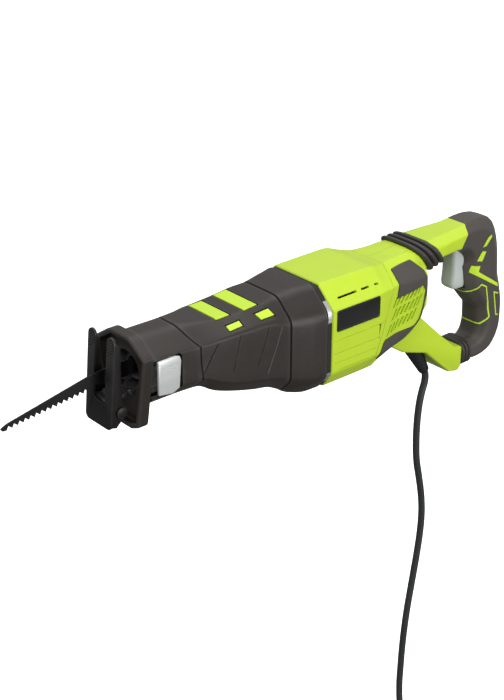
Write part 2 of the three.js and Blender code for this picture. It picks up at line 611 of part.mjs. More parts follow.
// The bumper lies above, behind and below the louvres; only a thin arm runs behind them.
const BUMPER_OUTLINE = [
  [288, 20], [315.8, 20.5], [328, 9.4], [330.5, -4], [330.5, -13], [326.5, -22], [317, -40], [300, -48],
  [283, -50], [256.8, -49], [264.4, -36], [267.5, -34.5], [315, -36.4], [324.5, -21], [328.5, -9],
  [321, -0.5], [284, -1.5],
];
function bumper(hand) {
  const [y0, y1] = hand < 0 ? [-60, -24.5] : [24.5, 60];
  const patch = plateXZ(BUMPER_OUTLINE, y0, y1);
  return cut(bodyPiece(BARREL_X, REAR_X, -SKIN).intersect(patch), bodyPiece(BARREL_X, REAR_X, -GAP));
}
const BADGE = { x0: 207.5, x1: 257, z0: -8, z1: 11 };
for (const [side, hand] of [["left", -1], ["right", 1]]) {
  add(`bumper_${side}`, bumper(hand), RUBBER_GREY);
  const [y0, y1] = [hand * (BARREL_HALF + GAP), hand * (BARREL_HALF + 1.3)].sort((a, b) => a - b);
  add(`badge_${side}`, box(BADGE.x0, BADGE.x1, y0, y1, BADGE.z0, BADGE.z1), BLACK);
}

// The cord hangs from the relief in one lazy curve near the middle plane, and leaves that plane
// to one side only where it joins the hank: x, z and, where it is not 0, y.
const CORD_ROUTE = [
  [367.9, -113.7], [369.6, -118.5], [369.3, -126], [366.5, -135], [364, -146], [362.6, -158], [362, -171],
  [362.4, -190], [364.4, -210], [368.5, -228], [372.5, -246], [375, -262], [376, -278], [375.2, -297],
  [372.8, -318], [369.5, -340], [366, -362], [362.5, -385], [360, -408], [358.3, -432], [357.5, -456],
  [357.3, -480], [357.3, -503, -2.5], [357.3, -519, -7.5], [357.5, -534, -10.5],
].map(([x, z, y = 0]) => new THREE.Vector3(x, y, z));

function cordTube(points) {
  const curve = new THREE.CatmullRomCurve3(points);
  const circle = new THREE.Shape().absarc(0, 0, CORD_R, 0, 2 * Math.PI, false);
  const steps = Math.max(2, Math.round(curve.getLength() / (5 * CORD_R)));
  const geometry = new THREE.ExtrudeGeometry(circle, { steps, curveSegments: 4, extrudePath: curve });
  return toSolid(geometry);
}

const routeLength = new THREE.CatmullRomCurve3(CORD_ROUTE).getLength();
const PLUG = { tail: 14, length: 36, half: 12, thick: 8, prong: 17 };
const hankLength = CORD_LENGTH - routeLength - PLUG.tail;
const turnLength = hankLength / HANK_RUNS;
const straight = (turnLength - 2 * Math.PI * HANK_FOLD_R) / 2;
const hankTop = CORD_ROUTE.at(-1).z - GAP + HANK_ENTRY;
const hankOuter = HANK_FOLD_R + CORD_R;
const hankMiddleX = CORD_ROUTE.at(-1).x + HANK_FOLD_R;
const hankMiddleZ = hankTop - hankOuter - straight / 2;
const hankThick = Math.ceil(HANK_RUNS) * 2 * CORD_R + 1;
const lastRunY = hankThick / 2 - CORD_R - 0.5;

function stadium(radius, y0, y1) {
  const shape = new THREE.Shape();
  shape.absarc(hankMiddleX, hankMiddleZ + straight / 2, radius, 0, Math.PI, false);
  shape.absarc(hankMiddleX, hankMiddleZ - straight / 2, radius, Math.PI, 2 * Math.PI, false);
  const geometry = new THREE.ExtrudeGeometry(shape,
    { depth: y1 - y0, curveSegments: 10, bevelEnabled: false });
  geometry.rotateX(Math.PI / 2);
  geometry.translate(0, y1, 0);
  return toSolid(geometry);
}
add("power_cord", cordTube(CORD_ROUTE), CORD_GREY);
add("cord_hank", stadium(hankOuter, -hankThick / 2, hankThick / 2), CORD_GREY);

function hankTie() {
  const block = (grow, high) => box(
    hankMiddleX - hankOuter - grow, hankMiddleX + hankOuter + grow,
    -hankThick / 2 - grow, hankThick / 2 + grow, hankMiddleZ - high, hankMiddleZ + high);
  return cut(block(GAP + 1.6, 5), block(GAP, 8));
}
add("cord_tie", hankTie(), BLACK);

// The cord's last run leaves the foot of the hank and enters the plug, whose blades point down.
const hankFoot = hankMiddleZ - straight / 2 - hankOuter;
const plugX = hankMiddleX + HANK_FOLD_R;
const plugTop = hankFoot - PLUG.tail;
const tailTop = hankFoot + HANK_ENTRY - GAP;
add("cord_tail", cordTube([0, 1, 2].map((i) =>
  new THREE.Vector3(plugX, lastRunY, tailTop - i * (tailTop - plugTop - GAP) / 2))), CORD_GREY);
function plugBody() {
  const { half: wide, thick: deep, length } = PLUG;
  const rings = [[0, 6, 6], [12, 8, deep - 1], [16, wide, deep], [length, wide, deep]];
  return loft(rings.map(([down, half, thick]) => Array.from({ length: 16 }, (_, i) => {
    const angle = (2 * Math.PI * i) / 16;
    const round = (value) => Math.sign(value) * Math.abs(value) ** 0.5;
    return new THREE.Vector3(
      plugX + half * round(Math.cos(angle)), lastRunY + thick * round(Math.sin(angle)), plugTop - down);
  })));
}
add("plug_body", plugBody(), BLACK);
[-6.3, 6.3].forEach((offset, i) => {
  const bladeTop = plugTop - PLUG.length - GAP;
  add(`plug_blade_${i + 1}`, box(plugX + offset - 0.8, plugX + offset + 0.8, lastRunY - 3.1, lastRunY + 3.1,
    bladeTop - PLUG.prong, bladeTop), BRONZE);
});

// ---------------------------------------------------------------- bellows
function bellowsRings(count, ringAt) {
  return Array.from({ length: count * 2 + 1 }, (_, i) => ringAt(i / (count * 2), i % 2 ? 2.2 : 0));
}
// The bellows' underside climbs from the neck to the thinner arm.
const bellowsBottom = (part) => NECK_BOTTOM + 1 + (ARM_BOTTOM - NECK_BOTTOM - 1) * part;
const upperRing = (x, part, shrink) => leaningRing(x, NECK_TOP, bellowsBottom(part), 25, shrink);
const upperRingAt = (part, grow) => upperRing(NECK_X + GAP + part * (UPPER_BELLOWS - 2 * GAP), part, -grow);
const UPPER_CORE = [-0.4, 1.4].map((part) => upperRing(NECK_X + part * UPPER_BELLOWS, part, 2.5));
add("upper_bellows", cut(loft(bellowsRings(3, upperRingAt)), loft(UPPER_CORE)), RUBBER_GREY);

const LOWER_MIDDLE_Z = -103.5;
const lowerRing = (x, grow, up = 1) => ovalRing(x, LOWER_MIDDLE_Z, 0, up, 10.5 + grow, 14.5 + grow);
const lowerRingAt = (part, grow) =>
  lowerRing(LOWER_BELLOWS_X + GAP + part * (LOWER_BELLOWS - 2 * GAP), grow);
add("lower_bellows", cut(loft(bellowsRings(3, lowerRingAt)),
  loft([390, 430].map((x) => lowerRing(x, -2.5)))), RUBBER_GREY);

// ---------------------------------------------------------------- D handle
// Stations along the handle: centre x and z, heading in degrees, half depth and half width.
const ARM_X = NECK_X + UPPER_BELLOWS;
const HANDLE_STATIONS = [
  [376, 17, 0, 10.5, 21.5], [391, 16.5, -3, 11.5, 20], [408, 13, -18, 18.5, 18], [420.8, 4, -48, 26.7, 17.5],
  [426, -14, -80, 26, 17], [429, -34, -86, 25, 17], [437, -49, -80, 20.5, 17],
  [443, -64, -88, 17, 17], [443.5, -82, -96, 16.5, 17], [436.5, -99, -135, 15.5, 16],
  [424, -104, -172, 12, 15],
];
function handleRings(shrink) {
  const arm = [0, 8].map((along) => leaningRing(ARM_X + along, NECK_TOP, ARM_BOTTOM, 24, shrink));
  const grip = HANDLE_STATIONS.map(([x, z, degrees, depth, half]) => {
    const heading = THREE.MathUtils.degToRad(degrees);
    return ovalRing(x, z, -Math.sin(heading), Math.cos(heading), depth - shrink, half - shrink);
  });
  const foot = lowerRing(LOWER_BELLOWS_X + LOWER_BELLOWS, -shrink, -1);
  return [...arm, ...grip, foot];
}

const TRIGGER = { x0: 390, x1: 411, half: 9, z0: -36, z1: 4, travel: 7 };
const triggerOpening = box(384, TRIGGER.x1 + TRIGGER.travel + 1, -TRIGGER.half - 0.8, TRIGGER.half + 0.8,
  TRIGGER.z0 - 2.5, TRIGGER.z1 + 1);
const switchRoom = box(TRIGGER.x1, 446, -12, 12, TRIGGER.z0 - 4, 4);

function gripRegion(shift) {
  return plateXZ([[384 + shift, -12], [403 + shift, 50], [500, 50], [500, -150], [416, -150], [400, -80]],
    -60, 60);
}
const handleFull = loft(handleRings(0));
const handleCore = loft(handleRings(SKIN + GAP));
const handleHollow = loft(handleRings(5).slice(2, -1));
const handleBody = cut(join(handleCore, cut(handleFull, gripRegion(-GAP))),
  handleHollow, triggerOpening, switchRoom);
const gripSkin = cut(cut(handleFull, loft(handleRings(SKIN))).intersect(gripRegion(0)), triggerOpening);
add("handle_left", handleBody.intersect(leftHalf), GREEN);
add("handle_right", handleBody.intersect(rightHalf), GREEN);
add("grip_left", gripSkin.intersect(leftHalf), RUBBER_GREY);
add("grip_right", gripSkin.intersect(rightHalf), RUBBER_GREY);

function triggerPaddle() {
  const { x0, x1, half, z0, z1 } = TRIGGER;
  const face = [
    [x0 + 1, z1], [x0, z1 - 4], [x0 + 1.2, -12], [x0 + 1.6, -20], [x0 + 0.6, z0 + 6], [x0 + 3, z0 + 1],
    [x0 + 8, z0], [x1, z0], [x1, z1],
  ];
  return plateXZ(face, -half, half);
}
add("trigger", triggerPaddle(), LIGHT_GREY);
const SWITCH_X = 421;
add("switch_body", box(SWITCH_X, 444, -9, 9, -34, -2), BLACK);
const springRod = (r, x0, x1) => rodX(x0, x1, r, 0, -18, 16);
add("trigger_spring", cut(springRod(4, TRIGGER.x1 + GAP, SWITCH_X - GAP), springRod(2.4, 400, 430)), STEEL);

export default origin;
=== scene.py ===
"""Looks of a corded reciprocating saw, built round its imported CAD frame.

Lengths are millimetres in the saw's own frame: x = 0 is the shoe's face, y = 0 the middle plane and z = 0
the plunger's axis. place() turns such a point into the row frame, in metres.
"""
import json
import math
from functools import lru_cache

import bmesh
import bpy
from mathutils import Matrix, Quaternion, Vector


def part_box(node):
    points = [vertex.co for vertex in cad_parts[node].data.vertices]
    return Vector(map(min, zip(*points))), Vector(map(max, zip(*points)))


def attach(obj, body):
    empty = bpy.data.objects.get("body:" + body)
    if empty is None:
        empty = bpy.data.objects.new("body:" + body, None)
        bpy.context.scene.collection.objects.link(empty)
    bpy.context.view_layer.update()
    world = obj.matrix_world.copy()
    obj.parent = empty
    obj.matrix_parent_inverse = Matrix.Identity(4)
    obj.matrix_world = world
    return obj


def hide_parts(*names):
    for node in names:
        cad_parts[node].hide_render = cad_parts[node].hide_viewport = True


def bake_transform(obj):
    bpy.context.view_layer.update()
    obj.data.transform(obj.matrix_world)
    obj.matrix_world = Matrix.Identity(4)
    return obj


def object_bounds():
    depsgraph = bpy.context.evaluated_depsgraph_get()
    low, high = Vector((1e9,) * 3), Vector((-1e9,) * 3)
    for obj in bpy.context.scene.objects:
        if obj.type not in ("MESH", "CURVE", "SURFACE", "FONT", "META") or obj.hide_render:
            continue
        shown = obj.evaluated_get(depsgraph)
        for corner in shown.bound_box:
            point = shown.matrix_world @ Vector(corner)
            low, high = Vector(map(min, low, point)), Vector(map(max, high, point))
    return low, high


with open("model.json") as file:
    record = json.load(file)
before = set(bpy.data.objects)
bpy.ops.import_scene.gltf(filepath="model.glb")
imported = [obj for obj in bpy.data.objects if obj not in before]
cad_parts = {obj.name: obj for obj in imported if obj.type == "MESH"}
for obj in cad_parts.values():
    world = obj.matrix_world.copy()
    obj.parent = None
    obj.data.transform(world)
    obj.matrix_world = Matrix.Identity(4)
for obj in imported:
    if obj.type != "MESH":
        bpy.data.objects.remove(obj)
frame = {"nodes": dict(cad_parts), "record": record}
cad_low, cad_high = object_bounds()

# ---------------- places taken from the frame
CLAMP_FRONT = 34.0
clamp_low, clamp_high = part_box("blade_clamp_collar")
ZERO = Vector((clamp_low.x - CLAMP_FRONT / 1000, 0.0, (clamp_low.z + clamp_high.z) / 2))


def place(point):
    return ZERO + Vector(point) / 1000


def saw_box(node):
    """A CAD node's lowest and highest corner in the saw's own frame."""
    low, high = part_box(node)
    return (low - ZERO) * 1000, (high - ZERO) * 1000


# ---------------- camera
CAMERA_AZIMUTH = math.radians(-40.5)
CAMERA_ELEVATION = math.radians(26.0)
CAMERA_DISTANCE = 1.35
CAMERA_TARGET = Vector((-0.2160, 0.0813, -0.0168))
CAMERA_LENS = 76.1


def make_camera():
    towards = Vector((
        math.sin(CAMERA_AZIMUTH) * math.cos(CAMERA_ELEVATION),
        -math.cos(CAMERA_AZIMUTH) * math.cos(CAMERA_ELEVATION),
        math.sin(CAMERA_ELEVATION),
    ))
    data = bpy.data.cameras.new("camera")
    data.lens = CAMERA_LENS
    data.sensor_width = 36.0
    camera = bpy.data.objects.new("camera", data)
    camera.location = CAMERA_TARGET + towards * CAMERA_DISTANCE
    camera.rotation_mode = "QUATERNION"
    camera.rotation_quaternion = (-towards).to_track_quat("-Z", "Y")
    bpy.context.scene.collection.objects.link(camera)
    bpy.context.scene.camera = camera


make_camera()


# ---------------- materials
def linear(hex_colour):
    """A colour written as RRGGBB, as the shader's own linear numbers."""
    channels = [int(hex_colour[i:i + 2], 16) / 255 for i in (0, 2, 4)]
    return [c / 12.92 if c <= 0.04045 else ((c + 0.055) / 1.055) ** 2.4 for c in channels]


def scaled(colour, factor):
    return [min(1.0, c * factor) for c in colour] + [1.0]


def add_node(tree, kind, **values):
    """A new shader node with some inputs set; an underscore stands for a space in an input's name."""
    node = tree.nodes.new("ShaderNode" + kind)
    for name, value in values.items():
        node.inputs[name.replace("_", " ")].default_value = value
    return node


def surface(name, colour, roughness, metallic=0.0, mottle=0.05, mottle_size=14.0, grain=0.5, depth=0.02,
            edge_wear_and_highlight=0.0, rounding=0.35, specular=0.5, sheen=0.0, coat=0.0, streaks=None):
    """A material with uneven colour and gloss, a fine moulded or cast grain, and softened edges.

    Sizes are in millimetres. edge_wear_and_highlight lightens sharp edges, partly as wear and partly as a
    painted highlight; specular sets how much plain light is mirrored, and streaks stretches the grain along
    X, Y and Z.
    """
    colour = linear(colour)
    material = bpy.data.materials.new(name)
    material.use_nodes = True
    tree = material.node_tree
    links = tree.links
    shader = tree.nodes["Principled BSDF"]
    shader.inputs["Metallic"].default_value = metallic
    shader.inputs["Specular IOR Level"].default_value = specular
    if sheen:
        shader.inputs["Sheen Weight"].default_value = sheen
        shader.inputs["Sheen Roughness"].default_value = 0.4
    if coat:
        shader.inputs["Coat Weight"].default_value = coat
        shader.inputs["Coat Roughness"].default_value = 0.25
    stretch = add_node(tree, "Mapping", Scale=streaks or (1.0, 1.0, 1.0))
    links.new(add_node(tree, "TexCoord").outputs["Object"], stretch.inputs["Vector"])

    cloud = add_node(tree, "TexNoise", Scale=1000 / mottle_size, Detail=3.0)
    links.new(stretch.outputs["Vector"], cloud.inputs["Vector"])
    tint = add_node(tree, "Mix")
    tint.data_type = "RGBA"
    tint.inputs["A"].default_value = scaled(colour, 1 - mottle)
    tint.inputs["B"].default_value = scaled(colour, 1 + mottle)
    links.new(cloud.outputs["Fac"], tint.inputs["Factor"])
    tinted = tint.outputs["Result"]

    # Painted highlight and wear: edges that Pointiness finds sharp get a lighter colour, partly for worn
    # edges and partly for the light catching them.
    if edge_wear_and_highlight:
        wear_and_highlight_mask = add_node(tree, "MapRange", From_Min=0.52, From_Max=0.62, To_Max=edge_wear_and_highlight)
        links.new(add_node(tree, "NewGeometry").outputs["Pointiness"], wear_and_highlight_mask.inputs["Value"])
        wear_and_highlight_mix = add_node(tree, "Mix")
        wear_and_highlight_mix.data_type = "RGBA"
        wear_and_highlight_mix.inputs["B"].default_value = scaled([0.5 * c + 0.12 for c in colour], 1.6)
        links.new(wear_and_highlight_mask.outputs["Result"], wear_and_highlight_mix.inputs["Factor"])
        links.new(tinted, wear_and_highlight_mix.inputs["A"])
        tinted = wear_and_highlight_mix.outputs["Result"]
    links.new(tinted, shader.inputs["Base Color"])

    gloss = add_node(tree, "MapRange", To_Min=roughness - 0.07, To_Max=roughness + 0.07)
    links.new(cloud.outputs["Fac"], gloss.inputs["Value"])
    links.new(gloss.outputs["Result"], shader.inputs["Roughness"])

    fine = add_node(tree, "TexNoise", Scale=1000 / grain, Detail=2.0)
    links.new(stretch.outputs["Vector"], fine.inputs["Vector"])
    edge = add_node(tree, "Bevel", Radius=rounding / 1000)
    edge.samples = 4
    bump = add_node(tree, "Bump", Distance=depth / 1000)
    links.new(fine.outputs["Fac"], bump.inputs["Height"])
    links.new(edge.outputs["Normal"], bump.inputs["Normal"])
    links.new(bump.outputs["Normal"], shader.inputs["Normal"])
    return material


GREEN = surface("green_plastic", "B4D02A", 0.40, mottle=0.03, grain=0.45, depth=0.012, coat=0.05)
INLAY = surface("green_inlay", "BBDC30", 0.45, mottle=0.03, grain=0.4, depth=0.01, rounding=0.2)
# The grey rubber's lighter edges are partly wear and partly a painted highlight.
RUBBER = surface("grey_rubber", "2B2623", 0.40, mottle=0.09, mottle_size=9.0, grain=0.55, depth=0.06,
                 edge_wear_and_highlight=0.25, specular=0.32)
GRIP = surface("grip_rubber", "403B37", 0.60, mottle=0.06, mottle_size=7.0, grain=0.5, depth=0.06, sheen=0.08)
BELLOWS = surface("bellows_rubber", "322F2C", 0.50, mottle=0.06, grain=0.6, depth=0.03)
BLACK = surface("black_plastic", "121112", 0.45, mottle=0.08, grain=0.5, depth=0.02)
SEAL = surface("black_rubber", "0F0E0E", 0.65, mottle=0.08, grain=0.5, depth=0.03)
# The shoe steel's lighter edges are partly wear and partly a painted highlight.
SHOE_STEEL = surface("black_steel", "171413", 0.38, metallic=0.35, mottle=0.12, mottle_size=5.0, grain=0.7,
                     depth=0.02, edge_wear_and_highlight=0.35, specular=0.35)
BLADE_STEEL = surface("blade_steel", "161516", 0.38, metallic=0.45, mottle=0.12, mottle_size=8.0, grain=0.25,
                      depth=0.008, rounding=0.12, streaks=(0.15, 1.0, 1.0))
SILVER = surface("silver_paint", "CED1CF", 0.34, metallic=0.35, mottle=0.05, mottle_size=6.0, grain=0.3,
                 depth=0.01, streaks=(0.2, 1.0, 1.0))
STEEL = surface("ground_steel", "A5A7A8", 0.28, metallic=0.95, mottle=0.06, grain=0.2, depth=0.006,
                streaks=(1.0, 1.0, 0.1))
CASTING = surface("cast_aluminium", "B9BBBC", 0.42, metallic=0.85, mottle=0.08, mottle_size=4.0, grain=0.8,
                  depth=0.05)
COPPER = surface("enamelled_copper", "B06A3C", 0.33, metallic=0.9, mottle=0.15, mottle_size=3.0, grain=0.7,
                 depth=0.15, streaks=(0.2, 1.0, 1.0))
BRASS = surface("brass", "B5924F", 0.32, metallic=0.9, mottle=0.06, grain=0.3, depth=0.008)
CARBON = surface("carbon", "2B2B2D", 0.55, mottle=0.1, grain=0.4, depth=0.02)
TRIGGER_GREY = surface("trigger_plastic", "B4BAB7", 0.38, mottle=0.03, grain=0.4, depth=0.012)
CORD = surface("cord_jacket", "2A2C2D", 0.48, mottle=0.06, mottle_size=20.0, grain=0.5, depth=0.02,
               rounding=0.1)

CAD_FINISH = {
    "green_plastic": GREEN, "rubber_grey": RUBBER, "black_plastic": BLACK, "black_rubber": SEAL,
    "black_steel": SHOE_STEEL, "silver_paint": SILVER, "steel": STEEL, "aluminium_casting": CASTING,
    "copper": COPPER, "bronze": BRASS, "carbon": CARBON, "light_grey_plastic": TRIGGER_GREY,
    "cord_rubber": CORD,
}


def smooth(mesh, angle):
    mesh.polygons.foreach_set("use_smooth", [True] * len(mesh.polygons))
    mesh.set_sharp_from_angle(angle=math.radians(angle))


def finish_cad_nodes():
    """Every carried-over CAD node gets its slot's material and smooth round faces."""
    for row in frame["record"]["subparts"]:
        node = frame["nodes"][row["node"]]
        material = CAD_FINISH[row["material_slot"]]
        for slot in node.material_slots:
            slot.material = material
        smooth(node.data, 32)


finish_cad_nodes()
frame["nodes"]["blade"].material_slots[0].material = BLADE_STEEL


# ---------------- mesh building
SIDES = (("left", -1), ("right", 1))


def new_object(name, mesh):
    thing = bpy.data.objects.new(name, mesh)
    bpy.context.scene.collection.objects.link(thing)
    return thing


def solid(name, points, faces):
    """A closed mesh with its faces turned outwards."""
    mesh = bpy.data.meshes.new(name)
    mesh.from_pydata([place(p) for p in points], [], faces)
    build = bmesh.new()
    build.from_mesh(mesh)
    bmesh.ops.remove_doubles(build, verts=build.verts, dist=1e-6)
    bmesh.ops.recalc_face_normals(build, faces=build.faces)
    build.to_mesh(mesh)
    build.free()
    return new_object(name, mesh)


def loft(name, rings, loop=False):
    """Rings of equally many points joined in order: capped at both ends, or in a loop with no ends."""
    count = len(rings[0])
    points = [p for ring in rings for p in ring]
    faces = []
    pairs = list(zip(range(len(rings)), range(1, len(rings))))
    if loop:
        pairs.append((len(rings) - 1, 0))
    for a, b in pairs:
        for i in range(count):
            j = (i + 1) % count
            faces.append((a * count + i, a * count + j, b * count + j, b * count + i))
    if not loop:
        faces.append(tuple(range(count)))
        faces.append(tuple((len(rings) - 1) * count + i for i in range(count)))
    return solid(name, points, faces)


def prism(name, outline, y0, y1):
    """An outline of (x, z) points, pushed out from y0 to y1."""
    return loft(name, [[(x, y, z) for x, z in outline] for y in (y0, y1)])


def block(name, low, high):
    x0, y0, z0 = low
    x1, y1, z1 = high
    return prism(name, [(x0, z0), (x1, z0), (x1, z1), (x0, z1)], y0, y1)


def squircle(power, count):
    """Points of a unit circle drawn towards a square: the lower the power, the squarer."""
    circle = [(math.cos(a), math.sin(a)) for a in (2 * math.pi * i / count for i in range(count))]
    return [(math.copysign(abs(c) ** power, c), math.copysign(abs(s) ** power, s)) for c, s in circle]


def steps_between(start, end, count):
    return [start + (end - start) * k / count for k in range(count + 1)]


def ease(share):
    """A share from 0 to 1 that starts and stops gently."""
    return share * share * (3 - 2 * share)


def arc(u, v, radius, start, end, count=6):
    """Points on an arc about (u, v), from one angle in degrees to another."""
    angles = [math.radians(a) for a in steps_between(start, end, count)]
    return [(u + radius * math.cos(a), v + radius * math.sin(a)) for a in angles]


def apply_modifiers(thing):
    graph = bpy.context.evaluated_depsgraph_get()
    mesh = bpy.data.meshes.new_from_object(thing.evaluated_get(graph))
    thing.modifiers.clear()
    thing.data = mesh
    return thing


def combine(thing, others, operation):
    """Joins, cuts or intersects thing with the others, which are used up."""
    for other in others:
        modifier = thing.modifiers.new("combine", "BOOLEAN")
        modifier.operation = operation
        modifier.solver = "EXACT"
        modifier.object = other
    apply_modifiers(thing)
    for other in others:
        bpy.data.objects.remove(other)
    return thing


def cut(thing, *others):
    return combine(thing, others, "DIFFERENCE")


def join(thing, *others):
    return combine(thing, others, "UNION")


def common(thing, *others):
    return combine(thing, others, "INTERSECT")


def merged(first, *others):
    """Puts the faces of separate solids into the first one's mesh."""
    build = bmesh.new()
    for thing in (first, *others):
        build.from_mesh(thing.data)
    build.to_mesh(first.data)
    build.free()
    for other in others:
        bpy.data.objects.remove(other)
    return first


def soften(thing, width, segments=3, angle=30):
    """Rounds every edge sharper than the angle."""
    modifier = thing.modifiers.new("soften", "BEVEL")
    modifier.width = width / 1000
    modifier.segments = segments
    modifier.limit_method = "ANGLE"
    modifier.angle_limit = math.radians(angle)
    return apply_modifiers(thing)


def finish(thing, material, body, slot, *nodes, angle=32):
    """Gives a piece its material and its body, and hides the CAD nodes that it stands for."""
    thing.data.materials.clear()
    thing.data.materials.append(material)
    thing.data.polygons.foreach_set("material_index", [0] * len(thing.data.polygons))
    smooth(thing.data, angle)
    if body:
        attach(thing, body)
    if nodes:
        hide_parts(*nodes)
    return thing


# ---------------- cord
CORD_R = 3.5
HANK_TURNS = 3
CORD_ROUTE = [
    (367.9, 0, -113.7), (369.6, 0, -118.5), (369.3, 0, -126), (366.5, 0, -135), (364, 0, -146),
    (362.6, 0, -158), (362, 0, -171), (362.4, 0, -190), (364.4, 0, -210), (368.5, 0, -228),
    (372.5, 0, -246), (375, 0, -262), (376, 0, -278), (375.2, 0, -297), (372.8, 0, -318), (369.5, 0, -340),
    (366, 0, -362), (362.5, 0, -385), (360, 0, -408), (358.3, 0, -432), (357.5, 0, -456), (357.3, 0, -480),
    (357.3, -2.5, -503), (357.3, -7.5, -519), (357.5, -10.5, -534),
]


def cord_path():
    """The hanging route, then the hank's turns side by side, then the last run down to the plug."""
    low, high = saw_box("cord_hank")
    plug_low, plug_high = saw_box("plug_body")
    fold = (high.x - low.x) / 2 - CORD_R
    middle = (low.x + high.x) / 2
    top = high.z - CORD_R - fold
    foot = low.z + CORD_R + fold
    layers = [low.y + CORD_R + 0.5 + 2 * CORD_R * k for k in range(HANK_TURNS + 1)]
    points = list(CORD_ROUTE)
    for turn in range(HANK_TURNS):
        y, after = layers[turn], layers[turn + 1]
        points += [(middle - fold, y, z) for z in steps_between(top, foot, 5)[1:5]]
        points += [(x, y, z) for x, z in arc(middle, foot, fold, 180, 360, 8)]
        points += [(middle + fold, y, z) for z in steps_between(foot, top, 5)[1:5]]
        for k, (x, z) in enumerate(arc(middle, top, fold, 0, 180, 8)):
            points.append((x, y + (after - y) * ease(k / 8), z))
    start_x, plug_x, y = middle - fold, (plug_low.x + plug_high.x) / 2, layers[-1]
    for share in steps_between(0, 1, 8)[1:8]:
        points.append((start_x + (plug_x - start_x) * ease(share), y, top + (foot - top) * share))
    return points + [(plug_x, y, z) for z in steps_between(foot, plug_high.z, 4)]


def make_cord():
    curve = bpy.data.curves.new("power_cord_line", "CURVE")
    curve.dimensions = "3D"
    curve.bevel_depth = CORD_R / 1000
    curve.bevel_resolution = 4
    curve.use_fill_caps = True
    path = cord_path()
    spline = curve.splines.new("BEZIER")
    spline.bezier_points.add(len(path) - 1)
    spline.resolution_u = 6
    for point, where in zip(spline.bezier_points, path):
        point.co = place(where)
        point.handle_left_type = "AUTO"
        point.handle_right_type = "AUTO"
    cord = new_object("power_cord_line", curve)
    curve.materials.append(CORD)
    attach(cord, "housing")
    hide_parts("power_cord", "cord_hank", "cord_tail")
    return cord, path


# ---------------- the housing's skin
# Each section has a flat top and bottom, sides, and sloping shoulders between them.
# x, top, half width of the top, shoulder height, half width, sill height, half width of the bottom, bottom,
# then the corners' radii: top, shoulder, sill, bottom.
SECTIONS = [
    (31, 30, 8, 16, 29.5, -16, 20, -25, 22, 2.5, 5, 8),
    (60, 29.3, 9, 15, 30, -15.5, 21, -24.5, 20, 2, 5, 8),
    (78, 28, 12, 14, 31, -15.5, 22, -25, 14, 2, 5, 8),
    (95, 26.3, 15.5, 15, 33.5, -22, 24, -33.5, 8, 3, 5, 6),
    (110, 25.3, 18, 16, 35, -27.5, 24.5, -38.8, 6, 4, 5, 6),
    (136, 26.8, 20, 16, 36.7, -33, 25, -46, 7, 5, 6, 8),
    (149, 27.6, 21, 15, 37.5, -36, 25, -48.5, 8, 6, 6, 8),
    (163.5, 29, 20, 12, 38.5, -42, 25, -56, 14, 12, 10, 14),
    (172, 29.7, 21, 12, 41, -46, 26, -61.5, 18, 16, 14, 18),
    (185, 31, 22.5, 12, 44.5, -48, 30, -64, 18, 16, 14, 18),
    (198, 31.3, 26, 12, 45.8, -46.5, 33.5, -62.5, 16, 14, 14, 16),
    (203, 30.5, 26.7, 12, 46, -46, 35, -61.8, 2.5, 2.5, 8, 8),
    (258, 30.3, 28, 12, 46, -45, 36, -60.8, 2.5, 2.5, 8, 8),
    (262, 30, 28, 12, 45.5, -44.5, 35, -59.8, 2.5, 2.5, 8, 8),
    (276, 26.5, 23.5, 10.8, 42, -43, 32, -57.2, 6, 3, 8, 8),
    (288, 24.5, 20, 10, 39, -42, 30, -55, 8, 3, 7, 8),
    (304, 24.5, 18, 8, 38, -38, 28, -53, 8, 3, 6, 8),
    (320, 25, 18, 6, 35, -31, 26, -48, 8, 4, 6, 8),
    (332, 25, 16, 4, 31, -24, 22, -42, 8, 4, 6, 8),
]
ARC_STEPS = 5
FLAT_STEPS = 4


def eased(stations, x):
    """Every value of the stations at x, along a smooth curve that never overshoots them."""
    x = min(max(x, stations[0][0]), stations[-1][0])
    k = max(i for i in range(len(stations) - 1) if stations[i][0] <= x)

    def tangent(i, field):
        if i == 0 or i == len(stations) - 1:
            return 0.0
        before, here, after = stations[i - 1], stations[i], stations[i + 1]
        left = (here[field] - before[field]) / (here[0] - before[0])
        right = (after[field] - here[field]) / (after[0] - here[0])
        return 0.0 if left * right <= 0 else 2 * left * right / (left + right)

    a, b = stations[k], stations[k + 1]
    run = b[0] - a[0]
    u = (x - a[0]) / run
    return [
        (1 + 2 * u) * (1 - u) ** 2 * a[f] + u * (1 - u) ** 2 * run * tangent(k, f)
        + u * u * (3 - 2 * u) * b[f] - u * u * (1 - u) * run * tangent(k + 1, f)
        for f in range(1, len(a))
    ]


def rounded(corners, radii):
    """A closed outline of flats and rounded corners, always with as many points."""
    count = len(corners)
    bends = []
    for i, corner in enumerate(corners):
        before, after = corners[i - 1] - corner, corners[(i + 1) % count] - corner
        reach = radii[i] / max(0.05, math.tan(before.angle(after) / 2))
        reach = min(reach, 0.48 * before.length, 0.48 * after.length)
        bends.append((corner + before.normalized() * reach, corner, corner + after.normalized() * reach))
    points = []
    for i, (start, corner, end) in enumerate(bends):
        for k in range(ARC_STEPS + 1):
            u = k / ARC_STEPS
            points.append((1 - u) ** 2 * start + 2 * u * (1 - u) * corner + u * u * end)
        following = bends[(i + 1) % count][0]
        points += [end.lerp(following, k / FLAT_STEPS) for k in range(1, FLAT_STEPS)]
    return points


def moved_in(corners, distance):
    """The corners of an outline that runs clockwise, moved so that each side lies further in."""
    count = len(corners)
    result = []
    for i, corner in enumerate(corners):
        before = (corner - corners[i - 1]).normalized()
        after = (corners[(i + 1) % count] - corner).normalized()
        inward = Vector((before.y + after.y, -before.x - after.x))
        result.append(corner + inward * (distance / (1 + before.dot(after))))
    return result


